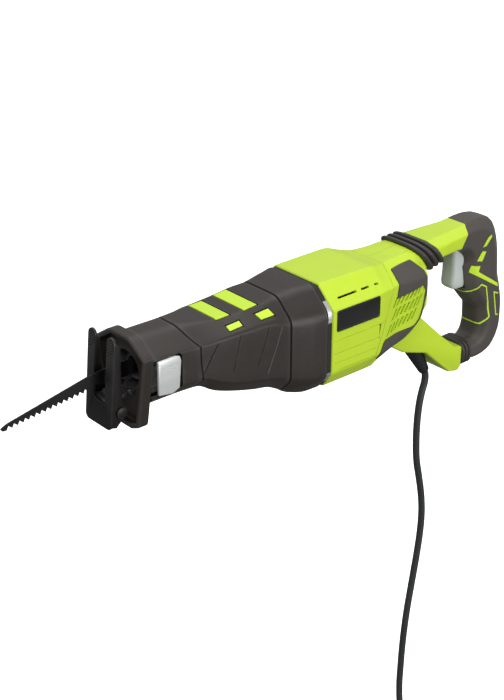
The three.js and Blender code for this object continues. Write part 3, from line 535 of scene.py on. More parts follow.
def mirrored_outline(side, radii, inward=0.0):
    """A closed outline from one side's corners, from the top down, and their mirror images."""
    side = [Vector(p) for p in side]
    corners = side + [Vector((-p.x, p.y)) for p in reversed(side)]
    radii = [max(0.4, r - inward) for r in [*radii, *reversed(radii)]]
    return rounded(moved_in(corners, inward), radii)


def section_outline(values, inward=0.0):
    top, top_half, shoulder, half, sill, bottom_half, bottom, *radii = values
    side = [(top_half, top), (half, shoulder), (half, sill), (bottom_half, bottom)]
    return mirrored_outline(side, radii, inward)


@lru_cache(maxsize=None)
def skin(x, inward=0.0):
    """The housing's outline at x, as (y, z) points."""
    return section_outline(eased(SECTIONS, x), inward)


RING_COUNT = len(skin(50.0))


def line_places(line):
    """The x of each point of a ring where it follows the line: a number, or a function of y and z."""
    if not callable(line):
        return [float(line)] * RING_COUNT
    places = [line(0.0, 0.0)] * RING_COUNT
    for _ in range(3):
        places = [round(line(*skin(x)[i]), 2) for i, x in enumerate(places)]
    return places


def skin_ring(places, inward=0.0):
    return [(x, *skin(round(x, 2), inward)[i]) for i, x in enumerate(places)]


def skin_rings(lines, steps, inward=0.0):
    """Rings that change gradually from each line to the next."""
    rings = []
    for first, last, count in zip(lines[:-1], lines[1:], steps):
        a, b = line_places(first), line_places(last)
        for k in range(count):
            share = k / count
            rings.append(skin_ring([p + (q - p) * share for p, q in zip(a, b)], inward))
    rings.append(skin_ring(line_places(lines[-1]), inward))
    return rings


def skin_height(x, y):
    """The height of the skin's upper side at (x, y)."""
    return farthest(skin(round(x, 2)), y, 0)


def skin_width(x, z):
    """Half the skin's width at (x, z)."""
    return farthest(skin(round(x, 2)), z, 1)


def farthest(outline, value, given):
    """Where one coordinate of the outline has the value, the greatest that the other one reaches."""
    wanted = 1 - given
    found = []
    for i, point in enumerate(outline):
        before = outline[i - 1]
        low, high = sorted((before[given], point[given]))
        if low <= value <= high and high > low:
            share = (value - before[given]) / (point[given] - before[given])
            found.append(before[wanted] + (point[wanted] - before[wanted]) * share)
    return max(found)


def band(name, pairs, depth, height, outward):
    """A strip between paired edge points, from depth under the surface to height above it."""
    rings = []
    for k, (a, b) in enumerate(pairs):
        a, b = Vector(a), Vector(b)
        near = Vector(pairs[max(0, k - 1)][0])
        far = Vector(pairs[min(len(pairs) - 1, k + 1)][0])
        normal = (b - a).cross(far - near).normalized()
        if normal.dot(Vector(outward)) < 0:
            normal.negate()
        rings.append([a - normal * depth, a + normal * height, b + normal * height, b - normal * depth])
    return loft(name, rings)


def top_band(name, x0, x1, y0, y1, depth, height, grow=0.0):
    """A strip across the skin's upper side."""
    outward = (0, (y0 + y1) / 60, 1)
    pairs = [((x0 - grow, y, skin_height(x0 - grow, y)), (x1 + grow, y, skin_height(x1 + grow, y)))
             for y in steps_between(y0 - grow, y1 + grow, 14)]
    return band(name, pairs, depth, height, outward)


def side_line(name, line, width, depth, height, hand, steps=8):
    """A narrow strip along a line of (x, z) points on the skin's side, mitred where the line turns."""
    line = [Vector(p) for p in line]
    pairs = []
    for k in range((len(line) - 1) * steps + 1):
        i = min(k // steps, len(line) - 2)
        here = line[i].lerp(line[i + 1], k / steps - i)
        before = here - line[max(0, (k - 1) // steps)] if k else line[1] - line[0]
        after = line[i + 1] - here if k < (len(line) - 1) * steps else before
        along = (before.normalized() + after.normalized()).normalized()
        side = Vector((-along.y, along.x)) * width / 2
        pairs.append([(p.x, hand * skin_width(p.x, p.y), p.y) for p in (here - side, here + side)])
    return band(name, pairs, depth, height, (0, hand, 0))


# ---------------- nose
HOOD_FRONT, HOOD_REAR = 20.3, 30.5
HOOD_SIDE = [(12.5, 32.6), (32.4, 19.5), (22, -42), (11, -46.8)]
HOOD_RADII = (16, 3, 5, 12)


def hood_ring(x, inward=0.0):
    return [(x, *p) for p in mirrored_outline(HOOD_SIDE, HOOD_RADII, inward)]


def make_hood():
    front, rear, back_wall, wall = HOOD_FRONT, HOOD_REAR, HOOD_REAR - 3.5, 4.5
    outside = [hood_ring(x) for x in steps_between(front + 1.3, rear - 1.2, 8)] + [hood_ring(rear, 1.2)]
    angles = [2 * math.pi * (i + 3.5) / RING_COUNT for i in range(RING_COUNT)]
    hole = [[(x, 16 * math.sin(a), 16 * math.cos(a)) for a in angles] for x in (rear, back_wall)]
    inside = [hood_ring(back_wall, wall + 0.6)]
    inside += [hood_ring(x, wall) for x in steps_between(back_wall - 1, front + 1, 6)]
    rim = [hood_ring(front, wall - 0.9), hood_ring(front, 1.3)]
    hood = loft("nose_guard_arch", outside + hole + inside + rim, loop=True)
    cut(hood, block("post_slot", (19, -10, -19.4), (35, 10, -13.4)))
    return finish(hood, RUBBER, "housing", "rubber_grey", "nose_guard", angle=28)


BOOT_FRONT, BOOT_REAR = 31.0, 198.0
SEAM_2 = 163.5


def seam_1(y, z):
    """The boot's first seam: it bows back from the top and runs down the sides."""
    return 66 + 0.0105 * min(abs(y), 31) ** 2 + 0.12 * max(0.0, 2 - z)


def shifted(line, shift):
    return lambda y, z: line(y, z) + shift


# The least and greatest x of the release button, then its least and greatest z.
BUTTON = (34.5, 57.0, -15.0, 14.0)
# Each inlay's front and rear x and half width; on a shoulder, its two edges' y and how far it leans.
TOP_INLAYS = [(102, 115.5, 17.5), (129, 142.5, 19.5)]
SHOULDER_INLAYS = [(106, 119, 25.5, 30, 0.0), (135.5, 149, 26, 31.4, 2.0)]


def shoulder_band(name, x0, x1, y0, y1, lean, hand, depth, height, grow=0.0):
    """A strip on a sloping shoulder; its outer edge is shifted back by lean."""
    pairs = []
    for y in steps_between(y0 - grow, y1 + grow, 6):
        shift = lean * (y - y0) / (y1 - y0)
        a, b = x0 - grow + shift, x1 + grow + shift
        pairs.append(((a, hand * y, skin_height(a, y)), (b, hand * y, skin_height(b, y))))
    return band(name, pairs, depth, height, (0, hand * 0.5, 1))


def make_boot():
    groove = 0.9
    lines = [BOOT_FRONT, shifted(seam_1, -groove)]
    outside = skin_rings(lines, [10])
    outside += [skin_ring(line_places(shifted(seam_1, s)), 1.1) for s in (-groove + 0.35, groove - 0.35)]
    outside += skin_rings([shifted(seam_1, groove), 95, SEAM_2 - 1.1], [5, 22])
    outside += [skin_ring([x] * RING_COUNT, 1.5) for x in (SEAM_2 - 0.6, SEAM_2 + 0.6)]
    outside += skin_rings([SEAM_2 + 1.1, BOOT_REAR - 1.0], [13])
    outside += [skin_ring([BOOT_REAR] * RING_COUNT, 1.0)]
    inside = skin_rings([BOOT_REAR, BOOT_FRONT], [20], 2.4)
    boot = loft("nose_boot_skin", outside + inside, loop=True)
    pockets = []
    for i, (x0, x1, half) in enumerate(TOP_INLAYS):
        pockets.append(top_band(f"pocket_{i}", x0, x1, -half, half, 1.0, 3, grow=1.3))
    for i, (x0, x1, y0, y1, lean) in enumerate(SHOULDER_INLAYS):
        for hand in (-1, 1):
            pockets.append(shoulder_band(f"pocket_{i}_{hand}", x0, x1, y0, y1, lean, hand, 1.0, 3, grow=1.1))
    x0, x1, z0, z1 = BUTTON
    around = [(x0 - 5, z0 - 3), (x1 - 8, z0 - 3.4), (x1 + 1.4, z0 + 0.5), (x1 + 1.4, z1 - 1.5),
              (x1 - 1, z1 + 1), (x0 - 5, z1 + 1)]
    well = prism("button_well", around, -40, -25)
    cut(boot, *pockets, well)
    creases = []
    for hand in (-1, 1):
        creases += [
            side_line(f"crease_v_{hand}", [(91.5, 12.5), (76.5, -14)], 0.8, 0.7, 1, hand),
            side_line(f"crease_a_{hand}", [(113, 14.5), (110, 2), (106, -16)], 0.6, 0.4, 1, hand),
            side_line(f"crease_b_{hand}", [(141, 13.5), (137, 0), (130, -18)], 0.6, 0.4, 1, hand),
        ]
    cut(boot, *creases)
    return finish(boot, RUBBER, "housing", "rubber_grey", "nose_boot", angle=24)


def make_boot_details():
    for i, (x0, x1, half) in enumerate(TOP_INLAYS):
        inlay = top_band(f"top_inlay_{i + 1}", x0, x1, -half, half, 0.9, 0.1)
        finish(inlay, INLAY, "housing", "green_plastic")
    for i, (x0, x1, y0, y1, lean) in enumerate(SHOULDER_INLAYS):
        for side, hand in SIDES:
            inlay = shoulder_band(f"shoulder_inlay_{i + 1}_{side}", x0, x1, y0, y1, lean, hand, 0.9, 0.1)
            finish(inlay, INLAY, "housing", "green_plastic")
    for side, hand in SIDES:
        ridge = side_line(f"boot_ridge_{side}", [(154.5, 10.5), (148, -8), (140, -28)], 1.1, 0.8, 0.22, hand)
        finish(ridge, RUBBER, "housing", "rubber_grey")


def make_button():
    x0, x1, z0, z1 = BUTTON
    outline = [(x0, z0), (x1 - 9, z0 - 2), (x1 - 2, z0 + 1), (x1, z1 - 5), (x1 - 1.2, z1 - 1.2),
               (x1 - 5, z1), (x0, z1)]
    button = soften(prism("release_button_cap", outline, -31.0, -28.2), 0.9)
    grooves = [block(f"groove_{z}", (x0 + 3, -32, z - 0.3), (x1 - 3, -30.75, z + 0.3)) for z in (7.5, 4.5)]
    cut(button, *grooves)
    stem = loft("stem", [[(46 + 4 * c, y, 4 * s) for c, s in squircle(1, 24)] for y in (-28.6, -16.2)])
    join(button, stem)
    return finish(button, SILVER, "release_button", "silver_paint", "shoe_release_button")


# ---------------- shoe
SHOE_TILT = math.radians(5.2)
SHOE_PIN = Vector((8.3, 0, -25.5))


def shoe_point(point):
    """A point of the upright shoe, from its pin, leaned back about the pin."""
    return SHOE_PIN + Quaternion((0, 1, 0), SHOE_TILT) @ Vector(point)


def upright(thing):
    """Moves a piece drawn about the shoe's pin to its place."""
    for vertex in thing.data.vertices:
        own = (vertex.co - ZERO) * 1000
        vertex.co = place(shoe_point(own))
    return thing


def across(name, outline, x0, x1):
    """An outline of (y, z) points, pushed out from x0 to x1."""
    return loft(name, [[(x, y, z) for y, z in outline] for x in (x0, x1)])


def make_shoe():
    """A fork of two round-tipped tines, its edges bent back, with diamond grooves in the tips."""
    half, top, bottom, front, thick = 17, 62, -14.3, -9.45, 2.5
    slot_half, slot_bottom, bend, lip = 7.5, 6.5, 3.5, 1.5
    tine, tip = (half + slot_half) / 2, (half - slot_half) / 2
    outline = arc(tine, top - tip, tip, 0, 180, 10)
    outline += arc(slot_half - bend, slot_bottom + bend, bend, 360, 270)
    outline += arc(-slot_half + bend, slot_bottom + bend, bend, 270, 180)
    outline += arc(-tine, top - tip, tip, 0, 180, 10)
    outline += arc(-half + 5, bottom + 5, 5, 180, 270) + arc(half - 5, bottom + 5, 5, 270, 360)
    plate = soften(across("pivot_shoe_plate", outline, front, front + thick), 0.6)
    ear = [(front + 0.8, bottom + 2.5), (-3.5, bottom + 1.5)] + arc(0, 0, 6.3, -62, 62, 8)
    ear += [(0.6, 12), (-1.1, 28), (-2.6, top - 9), (-5, top - 5.5), (front + 0.8, top - 5)]
    inner = [(front + 0.8, 16), (-1.8, 16), (-1.4, 18), (-1.6, 30), (-4.8, top - 6), (front + 0.8, top - 6)]
    inset = 0.15
    for hand in (-1, 1):
        y = hand * (half - 1.25 - inset)
        edge_y = hand * (slot_half + lip / 2 + inset)
        join(plate, soften(prism(f"flange_{hand}", ear, y - 1.25, y + 1.25), 0.6),
             soften(prism(f"lip_{hand}", inner, edge_y - lip / 2, edge_y + lip / 2), 0.4))
    # A low web on the right ear closes the view past the hood through the slot.
    web = [(-1.5, -1), (5, -1), (9.6, 3.5), (9.6, 12), (4.5, 19), (-1.5, 22)]
    join(plate, soften(prism("web", web, half - 2.5, half - 0.3), 0.5))
    for turn in (-1, 1):
        grooves = []
        for hand in (-1, 1):
            for k in range(6):
                y, z = hand * tine, top - 2.5 - 2.2 * k
                bar = [(y - tip, z - turn * 3), (y + tip, z + turn * 3)]
                bar += [(y + tip, z + turn * 3 + 0.7), (y - tip, z - turn * 3 + 0.7)]
                grooves.append(across("groove", bar, front - 1, front + 0.4))
        cut(plate, *grooves)
    return finish(upright(plate), SHOE_STEEL, "shoe", "black_steel", "pivot_shoe", angle=28)


def make_shoe_pin():
    x, z = SHOE_PIN.x, SHOE_PIN.z
    head = [(17.3, 4.0), (17.5, 4.6), (18.5, 4.6), (19.3, 3.8), (19.5, 3.0)]
    profile = [(-y, r) for y, r in reversed(head)] + head
    rings = [[(x + r * c, y, z + r * s) for c, s in squircle(1, 32)] for y, r in profile]
    pin = loft("shoe_pin", rings)
    return finish(pin, SHOE_STEEL, "shoe_post", "black_steel", "shoe_pivot_pin")


# ---------------- green housing
BARREL_FRONT = 203.0
SEAM_LOW = (247.2, -61.0)
SEAM_LEAN = 0.434
SHELL = 3.0
NECK_X, NECK_TOP, NECK_BOTTOM, SLANT = 322.5, 27.0, 0.0, 0.77
ARM_BOTTOM = 6.5
ROUNDNESS = 0.67
BEAM_HALF = 16.0
BELLOWS_X = 402.0


def seam(y, z):
    return SEAM_LOW[0] + SEAM_LEAN * (z - SEAM_LOW[1])


def before_seam(x, distance):
    """A line at x that stays at least the distance in front of the seam."""
    return lambda y, z: min(x, seam(y, z) - distance)


def make_gap_shade_ring():
    """A dark ring behind the boot: painted shade, standing in for the shade in the gap in front of the
    barrel.
    """
    outside = skin_rings([BOOT_REAR + 0.5, BARREL_FRONT + 3], [3], 1.4)
    inside = skin_rings([BARREL_FRONT + 3, BOOT_REAR + 0.5], [3], 2.2)
    ring = loft("barrel_gap_painted_shade", outside + inside, loop=True)
    return finish(ring, SEAL, "housing", "black_plastic")


def make_gap_bosses():
    """Bright bosses of the casting that show in the gap in front of the barrel."""
    x0, x1 = BOOT_REAR + 0.6, BARREL_FRONT - 0.4
    for side, hand in SIDES:
        for level, (low_z, high_z) in (("upper", (2, 19)), ("lower", (-53, -44))):
            rings = []
            for x in steps_between(x0, x1, 2):
                near = [(x, hand * (skin_width(x, z) - 0.7), z) for z in steps_between(low_z, high_z, 4)]
                rings.append(near + [(x, y - hand * 1.6, z) for x, y, z in reversed(near)])
            boss = loft(f"gap_boss_{level}_{side}", rings)
            finish(boss, CASTING, "housing", "aluminium_casting")


def make_barrel():
    outside = [skin_ring([BARREL_FRONT] * RING_COUNT, 0.9)]
    lines = [BARREL_FRONT + 0.8, before_seam(258, 1.5), before_seam(262, 0.9), shifted(seam, -0.3)]
    outside += skin_rings(lines, [16, 2, 10])
    outside += [skin_ring(line_places(seam), 0.35)]
    inside = skin_rings([seam, BARREL_FRONT], [14], SHELL)
    barrel = loft("motor_barrel_shell", outside + inside, loop=True)
    cutters = []
    for hand in (-1, 1):
        for k, (x0, x1) in enumerate(((214, 235.5), (241, 250), (256.5, 261))):
            pairs = [((x, hand * 38.4, skin_height(x, 38.4)), (x, hand * 39.8, skin_height(x, 39.8)))
                     for x in steps_between(x0, x1, 6)]
            cutters.append(band(f"slot_{k}_{hand}", pairs, 5, 4, (0, hand, 1)))
        for k, z in enumerate((-16, -28, -37, -44)):
            ends = [(206, z), (seam(0, z) - 3, z)]
            cutters.append(side_line(f"line_{k}_{hand}", ends, 0.5, 0.35, 1, hand))
    cut(barrel, *cutters)
    return finish(barrel, GREEN, "housing", "green_plastic", "motor_barrel", angle=26)


def leaning_ring(top_x, top, bottom, half, grow=0.0):
    depth, middle = (top - bottom) / 2 + grow, (top + bottom) / 2
    middle_x = top_x + SLANT * (NECK_TOP - middle)
    return [(middle_x - SLANT * depth * c, (half + grow) * s, middle + depth * c)
            for c, s in squircle(ROUNDNESS, 48)]


def beyond_neck(name, shift):
    def edge(z):
        return NECK_X + SLANT * (NECK_TOP - z) + shift
    return prism(name, [(edge(80), 80), (edge(-12), -12), (500, -12), (500, 80)], -90, 90)


BEAM_OUTLINE = [
    (322, -36), (341, -44), (355, -57), (369, -70), (391, -90), (402, -93), (402, -114), (397, -118),
    (385, -115), (352, -85), (322, -75), (296, -58),
]
BEAM_HOLLOW = [
    (318, -45), (338, -50), (352, -63), (386, -95), (388, -110), (385, -110), (356, -83), (320, -68),
]
# Three rows of leaning louvre slots: the foot of each row's first and last slot.
LOUVRE_ROWS = [
    ((277.3, -9.2), (313, -7)), ((276.5, -19.9), (312.3, -17.8)), ((268.5, -32), (304.3, -28.5)),
]
LOUVRE_COLUMNS = 7
LOUVRE_FLOOR = 2.2


def louvre_slots(y0, y1):
    width, height, lean = 3.1, 8.2, 6.4
    slots = []
    for first, last in LOUVRE_ROWS:
        for x, z in zip(*(steps_between(a, b, LOUVRE_COLUMNS - 1) for a, b in zip(first, last))):
            outline = [(x, z), (x + width, z), (x + width + lean, z + height), (x + lean, z + height)]
            slots.append(prism("louvre_slot", outline, y0, y1))
    return slots


def make_rear_housing():
    body = loft("rear_housing_shell", skin_rings([shifted(seam, 0.35), 332], [24]))
    cut(body, beyond_neck("trim_a", 0))
    neck = loft("neck", [leaning_ring(x, top, bottom, half) for x, top, bottom, half in (
        (282, 21, 5, 17), (300, 24.6, 2, 21.5), (NECK_X - 8, 26, 0, 24), (NECK_X, 26, 0, 24))])
    beam = soften(prism("beam", BEAM_OUTLINE, -BEAM_HALF, BEAM_HALF), 2.5, 3)
    join(body, neck, beam)
    hollow = loft("hollow", skin_rings([shifted(seam, -2), 329], [10], SHELL))
    cut(hollow, beyond_neck("trim_b", -SHELL))
    beam_hollow = prism("beam_hollow", BEAM_HOLLOW, -BEAM_HALF + SHELL, BEAM_HALF - SHELL)
    cut(body, hollow, beam_hollow)
    grille = merged(*louvre_slots(-60, -5), *louvre_slots(5, 60))
    cut(grille, loft("slot_floor", skin_rings([240, 333], [24], LOUVRE_FLOOR)))
    slit = block("slit", (240, -0.15, -140), (420, 0.15, 60))
    cut(body, grille, slit, relief_solid("relief_hole", 0.4, -0.2, 1.1))
    return finish(body, GREEN, "housing", "green_plastic", "rear_housing_left", "rear_housing_right",
                  angle=26)


BUMPER_OUTLINE = [
    (289, 19.8), (315.8, 20.5), (328, 9.4), (330.5, -4), (330.5, -13), (325.8, -22.5), (316.5, -40),
    (300, -48), (283, -50), (256.8, -49), (264.4, -36), (267.5, -34), (315, -36), (324.6, -21), (328.8, -9),
    (321, -0.8), (284.5, -1.8),
]


def make_bumpers():
    for side, hand in SIDES:
        shape = loft(f"bumper_patch_{side}", skin_rings([245, 332], [22], -1.1))
        cut(shape, loft("under", skin_rings([240, 333], [22], 0.6)))
        y0, y1 = sorted((hand * 22.0, hand * 60.0))
        common(shape, prism("patch", BUMPER_OUTLINE, y0, y1))
        finish(shape, GRIP, "housing", "rubber_grey", f"bumper_{side}", angle=26)


BADGE = (207.5, 257.0, -8.0, 11.0)
BADGE_CORNER = 1.6


def badge_outline(shrink):
    inset = shrink + BADGE_CORNER
    x0, x1, z0, z1 = BADGE[0] + inset, BADGE[1] - inset, BADGE[2] + inset, BADGE[3] - inset
    corners = [(x1, z1), (x0, z1), (x0, z0), (x1, z0)]
    return [p for k, (x, z) in enumerate(corners) for p in arc(x, z, BADGE_CORNER, 90 * k, 90 * k + 90, 4)]


def make_badges():
    """Blank plates with a raised rim, on the barrel's flat sides."""
    surface_y = 46.0
    profile = ((0, 0.15), (0, 0.8), (0.3, 1.1), (1.0, 1.1), (1.3, 0.85))
    for side, hand in SIDES:
        rings = [[(x, hand * (surface_y + height), z) for x, z in badge_outline(shrink)]
                 for shrink, height in profile]
        finish(loft(f"badge_plate_{side}", rings), BLACK, "housing", "black_plastic", f"badge_{side}")


# ---------------- bellows
UPPER_BELLOWS, LOWER_BELLOWS = 24.0, 14.0
RIBS = 3
RIB_STEPS = 12


def rib_height(part, low, high):
    """Round ribs with narrow valleys between them."""
    wave = abs(math.sin(math.pi * RIBS * part))
    return low + (high - low) * wave ** 0.55


def upper_ring(part, grow):
    """The underside climbs from the neck to the thinner arm."""
    bottom = NECK_BOTTOM + 1 + (ARM_BOTTOM - NECK_BOTTOM - 1) * part
    return leaning_ring(NECK_X + 0.4 + part * (UPPER_BELLOWS - 0.8), NECK_TOP, bottom, 25, grow)


def make_upper_bellows():
    count = RIBS * RIB_STEPS
    outside = [upper_ring(part, rib_height(part, -1.2, 2.6)) for part in steps_between(0, 1, count)]
    inside = [upper_ring(part, -3.2) for part in steps_between(1, 0, 8)]
    bellows = loft("upper_bellows_ribs", outside + inside, loop=True)
    finish(bellows, BELLOWS, None, "rubber_grey", "upper_bellows", angle=40)
    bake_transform(bellows)


LOWER_MIDDLE = -103.5


def lower_ring(part, grow):
    x = BELLOWS_X + 0.4 + part * (LOWER_BELLOWS - 0.8)
    return [(x, (14.5 + grow) * s, LOWER_MIDDLE + (10.5 + grow) * c) for c, s in squircle(ROUNDNESS, 40)]


def make_lower_bellows():
    count = RIBS * RIB_STEPS
    outside = [lower_ring(part, rib_height(part, -0.8, 2.3)) for part in steps_between(0, 1, count)]
    inside = [lower_ring(part, -2.8) for part in steps_between(1, 0, 6)]
    bellows = loft("lower_bellows_ribs", outside + inside, loop=True)
    finish(bellows, BELLOWS, None, "rubber_grey", "lower_bellows", angle=40)
    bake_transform(bellows)


# ---------------- handle
# Stations along the handle: place, x, z, heading in degrees, half depth, half width, share of each side
# that the corner takes off, and the corner's radius.
HANDLE = [
    (0, 361, 16.8, 0, 10.3, 23, 0.45, 4), (1, 376, 17, 0, 10.5, 21.5, 0.45, 3),
    (2, 391, 16.5, -3, 11.5, 20, 0.45, 3), (3, 408, 13, -18, 18.5, 18, 0.45, 4),
    (4, 420.8, 4, -48, 26.7, 17.5, 0.5, 8), (5, 426, -14, -80, 26, 17, 0.5, 9),
    (6, 429, -34, -86, 25, 17, 0.5, 9), (7, 437, -49, -80, 20.5, 17, 0.5, 9),
    (8, 443, -64, -88, 17, 17, 0.5, 9), (9, 443.5, -82, -96, 16.5, 17, 0.5, 9),
    (10, 436.5, -99, -135, 15.5, 16, 0.5, 8), (11, 424, -104, -172, 12, 15, 0.5, 6),
    (12, 416.3, -103.5, -180, 10.5, 14.5, 0.5, 5),
]


def grip_outline(half, depth, chamfer, radius, inward):
    side = [(half * (1 - chamfer), depth), (half, depth * (1 - chamfer))]
    side += [(y, -z) for y, z in reversed(side)]
    return mirrored_outline(side, [radius] * 4, inward)


def handle_ring(values, inward=0.0):
    x, z, degrees, depth, half, chamfer, radius = values
    heading = math.radians(degrees)
    out = Vector((-math.sin(heading), 0, math.cos(heading)))
    outline = grip_outline(half, depth, chamfer, radius, inward)
    return [Vector((x, 0, z)) + out * p.y + Vector((0, p.x, 0)) for p in outline]


def arm_start(inward):
    """The arm's first ring leans with the bellows."""
    depth, middle = (NECK_TOP - ARM_BOTTOM) / 2, (NECK_TOP + ARM_BOTTOM) / 2
    x = NECK_X + UPPER_BELLOWS + SLANT * (NECK_TOP - middle)
    return [Vector((x - SLANT * p.y, p.x, middle + p.y)) for p in grip_outline(23.5, depth, 0.45, 4, inward)]


def handle_solid(name, inward=0.0):
    rings = [arm_start(inward)]
    last, steps = HANDLE[-1][0], 4
    for k in range(1, last * steps + 1):
        rings.append(handle_ring(eased(HANDLE, k / steps), inward))
    return loft(name, rings)


GREEN_EDGE = [(384, -14), (386, 8), (388, 13), (401, 31), (412, 50), (300, 50), (300, -14)]


def grown(outline, distance):
    """The outline, drawn clockwise or not, moved outwards."""
    middle = sum((Vector(p) for p in outline), Vector((0, 0))) / len(outline)
    result = []
    for i, p in enumerate(outline):
        before, after = Vector(outline[i - 1]), Vector(outline[(i + 1) % len(outline)])
        along = after - before
        side = Vector((-along.y, along.x)).normalized()
        if side.dot(Vector(p) - middle) < 0:
            side.negate()
        result.append(tuple(Vector(p) + side * distance))
    return result


TRIGGER_REAR, TRIGGER_HALF, TRIGGER_FOOT, TRIGGER_TOP = 411.0, 9.0, -36.0, 4.0


def make_handle():
    opening_low = (380, -TRIGGER_HALF - 0.8, TRIGGER_FOOT - 0.8)
    opening_high = (420, TRIGGER_HALF + 0.8, TRIGGER_TOP + 1)
    green = common(handle_solid("handle_arm"), prism("arm_region", GREEN_EDGE, -60, 60))
    cut(green, block("trigger_room_a", opening_low, opening_high))
    finish(green, GREEN, "handle", "green_plastic", "handle_left", "handle_right", angle=26)
    grip = cut(handle_solid("grip_overmold"), prism("arm_region_b", grown(GREEN_EDGE, 0.35), -60, 60),
               block("trigger_room_b", opening_low, opening_high))
    pockets = []
    for hand in (-1, 1):
        y0, y1 = sorted((0, hand * 60))
        for k, outline in enumerate(ACCENTS):
            pockets.append(prism(f"accent_pocket_{k}_{hand}", grown(outline, 0.3), y0, y1))
    pocket = cut(merged(*pockets), handle_solid("pocket_floor", 1.0))
    cut(grip, pocket)
    finish(grip, GRIP, "handle", "rubber_grey", "grip_left", "grip_right", angle=30)


def stroke(line, width):
    """The outline of a line of even width."""
    line = [Vector(p) for p in line]
    sides = [[], []]
    for k, here in enumerate(line):
        before = here - line[k - 1] if k else line[1] - here
        after = line[k + 1] - here if k < len(line) - 1 else before
        along = (before.normalized() + after.normalized()).normalized()
        across_line = Vector((-along.y, along.x)) * (width / 2 / max(0.5, along.dot(after.normalized())))
        sides[0].append(tuple(here + across_line))
        sides[1].append(tuple(here - across_line))
    return sides[0] + sides[1][::-1]


ACCENTS = [
    [(419.4, 3), (424, 3), (431.6, 10.9), (430, 13), (426, 11)],
    [(412.6, -9.2), (419, -1), (424.8, -2.5), (420.1, -11.2)],
    [(408.2, -13.3), (418, -15.3), (416.2, -20.8), (445.4, -40.2), (445.8, -44), (407.2, -20)],
    stroke([(405, -42), (413.3, -40.2), (421.6, -35.1), (428.6, -39.1), (436.3, -72.4), (429.5, -79.5),
            (418.5, -78), (404.9, -72.7)], 1.4),
    stroke([(446.6, -50.8), (440.4, -47.9), (445.5, -72.6), (448.2, -73.4)], 1.4),
]


def make_accents():
    for side, hand in SIDES:
        y0, y1 = sorted((0, hand * 60))
        for k, outline in enumerate(ACCENTS):
            accent = common(handle_solid(f"grip_accent_{k + 1}_{side}", -0.08),
                            prism("accent_region", outline, y0, y1))
            cut(accent, handle_solid("accent_floor", 1.05))
            finish(accent, INLAY, "handle", "green_plastic")


def make_trigger():
    """Its face is hollowed a little for a finger. The face's points are height, x and taper."""
    face = [(TRIGGER_TOP, 391, 0), (0, 390.3, 0), (-7, 390.8, 0), (-13, 391.4, 0), (-19, 391.6, 0),
            (-25, 391, 0), (-30, 390.6, 0), (-33.5, 391.4, 0.4), (-35.5, 393.5, 1.4),
            (TRIGGER_FOOT, 396.5, 2.8)]
    rings = []
    for z, front, taper in face:
        middle, reach = (front + TRIGGER_REAR) / 2, (TRIGGER_REAR - front) / 2
        rings.append([(middle + reach * c, (TRIGGER_HALF - taper) * s, z) for c, s in squircle(0.5, 32)])
    trigger = loft("trigger_paddle", rings)
    return finish(trigger, TRIGGER_GREY, "trigger", "light_grey_plastic", "trigger", angle=35)


# ---------------- strain relief and plug
RELIEF_ROOT = Vector((346, 0, -78))
RELIEF_TIP = Vector((367.5, 0, -113))
RELIEF_RADII = (9.0, 5.0)


def along_relief(stations):
    """Round rings about the relief's own axis, from (share, radius) stations."""
    axis = RELIEF_TIP - RELIEF_ROOT
    side = Vector((0, 1, 0))
    up = axis.normalized().cross(side)
    return [[RELIEF_ROOT + axis * share + (side * c + up * s) * radius for c, s in squircle(1, 32)]
            for share, radius in stations]


def relief_solid(name, grow, start, end):
    a, b = RELIEF_RADII
    return loft(name, along_relief([(start, a + (b - a) * start + grow), (end, a + (b - a) * end + grow)]))


def make_relief():
    a, b = RELIEF_RADII
    stations = [(0, a - 1), (0.02, a)]
    for k in range(5):
        share = 0.34 + 0.12 * k
        radius = a + (b - a) * share
        stations += [(share, radius), (share + 0.01, radius - 0.8), (share + 0.03, radius - 0.8),
                     (share + 0.04, radius - 0.1)]
    stations += [(0.97, b + 0.1), (1.0, b - 0.6)]
    relief = loft("strain_relief_boot", along_relief(stations))
    return finish(relief, SEAL, "housing", "black_rubber", "strain_relief", angle=35)


def make_plug():
    """Stations down from the plug's top: distance, half width, half depth and roundness."""
    low, high = saw_box("plug_body")
    x, y = (low.x + high.x) / 2, (low.y + high.y) / 2
    half, thick = high.x - x, high.y - y
    stations = [(0, 4.6, 4.6, 1), (1.5, 5.6, 5.6, 1), (8, 6.2, 6, 1), (12, 8.5, 7, 0.8),
                (15.5, half - 0.8, thick - 0.3, 0.6), (17, half, thick, 0.5),
                (26, half - 0.7, thick - 0.5, 0.5), (34.6, half, thick, 0.5),
                (36, half - 0.8, thick - 0.8, 0.5)]
    plug = loft("plug_moulding", [[(x + wide * c, y + deep * s, high.z - down)
                                   for c, s in squircle(power, 40)] for down, wide, deep, power in stations])
    return finish(plug, BLACK, "housing", "black_plastic", "plug_body", angle=35)


def make_tie():
    low, high = saw_box("cord_tie")
    x, z = (low.x + high.x) / 2, (low.z + high.z) / 2
    half, thick, tall = (high.x - low.x) / 2 - 0.2, high.y - 0.2, (high.z - low.z) / 2
    edges = ((-tall, 1.2), (-tall + 0.3, 0), (tall - 0.3, 0), (tall, 1.2), (tall, 1.5), (-tall, 1.5))
    rings = [[(x + (half - inset) * c, (thick - inset) * s, z + height) for c, s in squircle(0.5, 40)]
             for height, inset in edges]
    tie = loft("cord_tie_band", rings, loop=True)
    return finish(tie, BLACK, "housing", "black_plastic", "cord_tie", angle=35)


# ---------------- stage
def make_light(name, where, target, size, power):
    data = bpy.data.lights.new(name, "AREA")
    data.size = size
    data.energy = power
    light = bpy.data.objects.new(name, data)
    light.location = where
    light.rotation_mode = "QUATERNION"
    light.rotation_quaternion = (Vector(target) - Vector(where)).to_track_quat("-Z", "Y")
    bpy.context.scene.collection.objects.link(light)


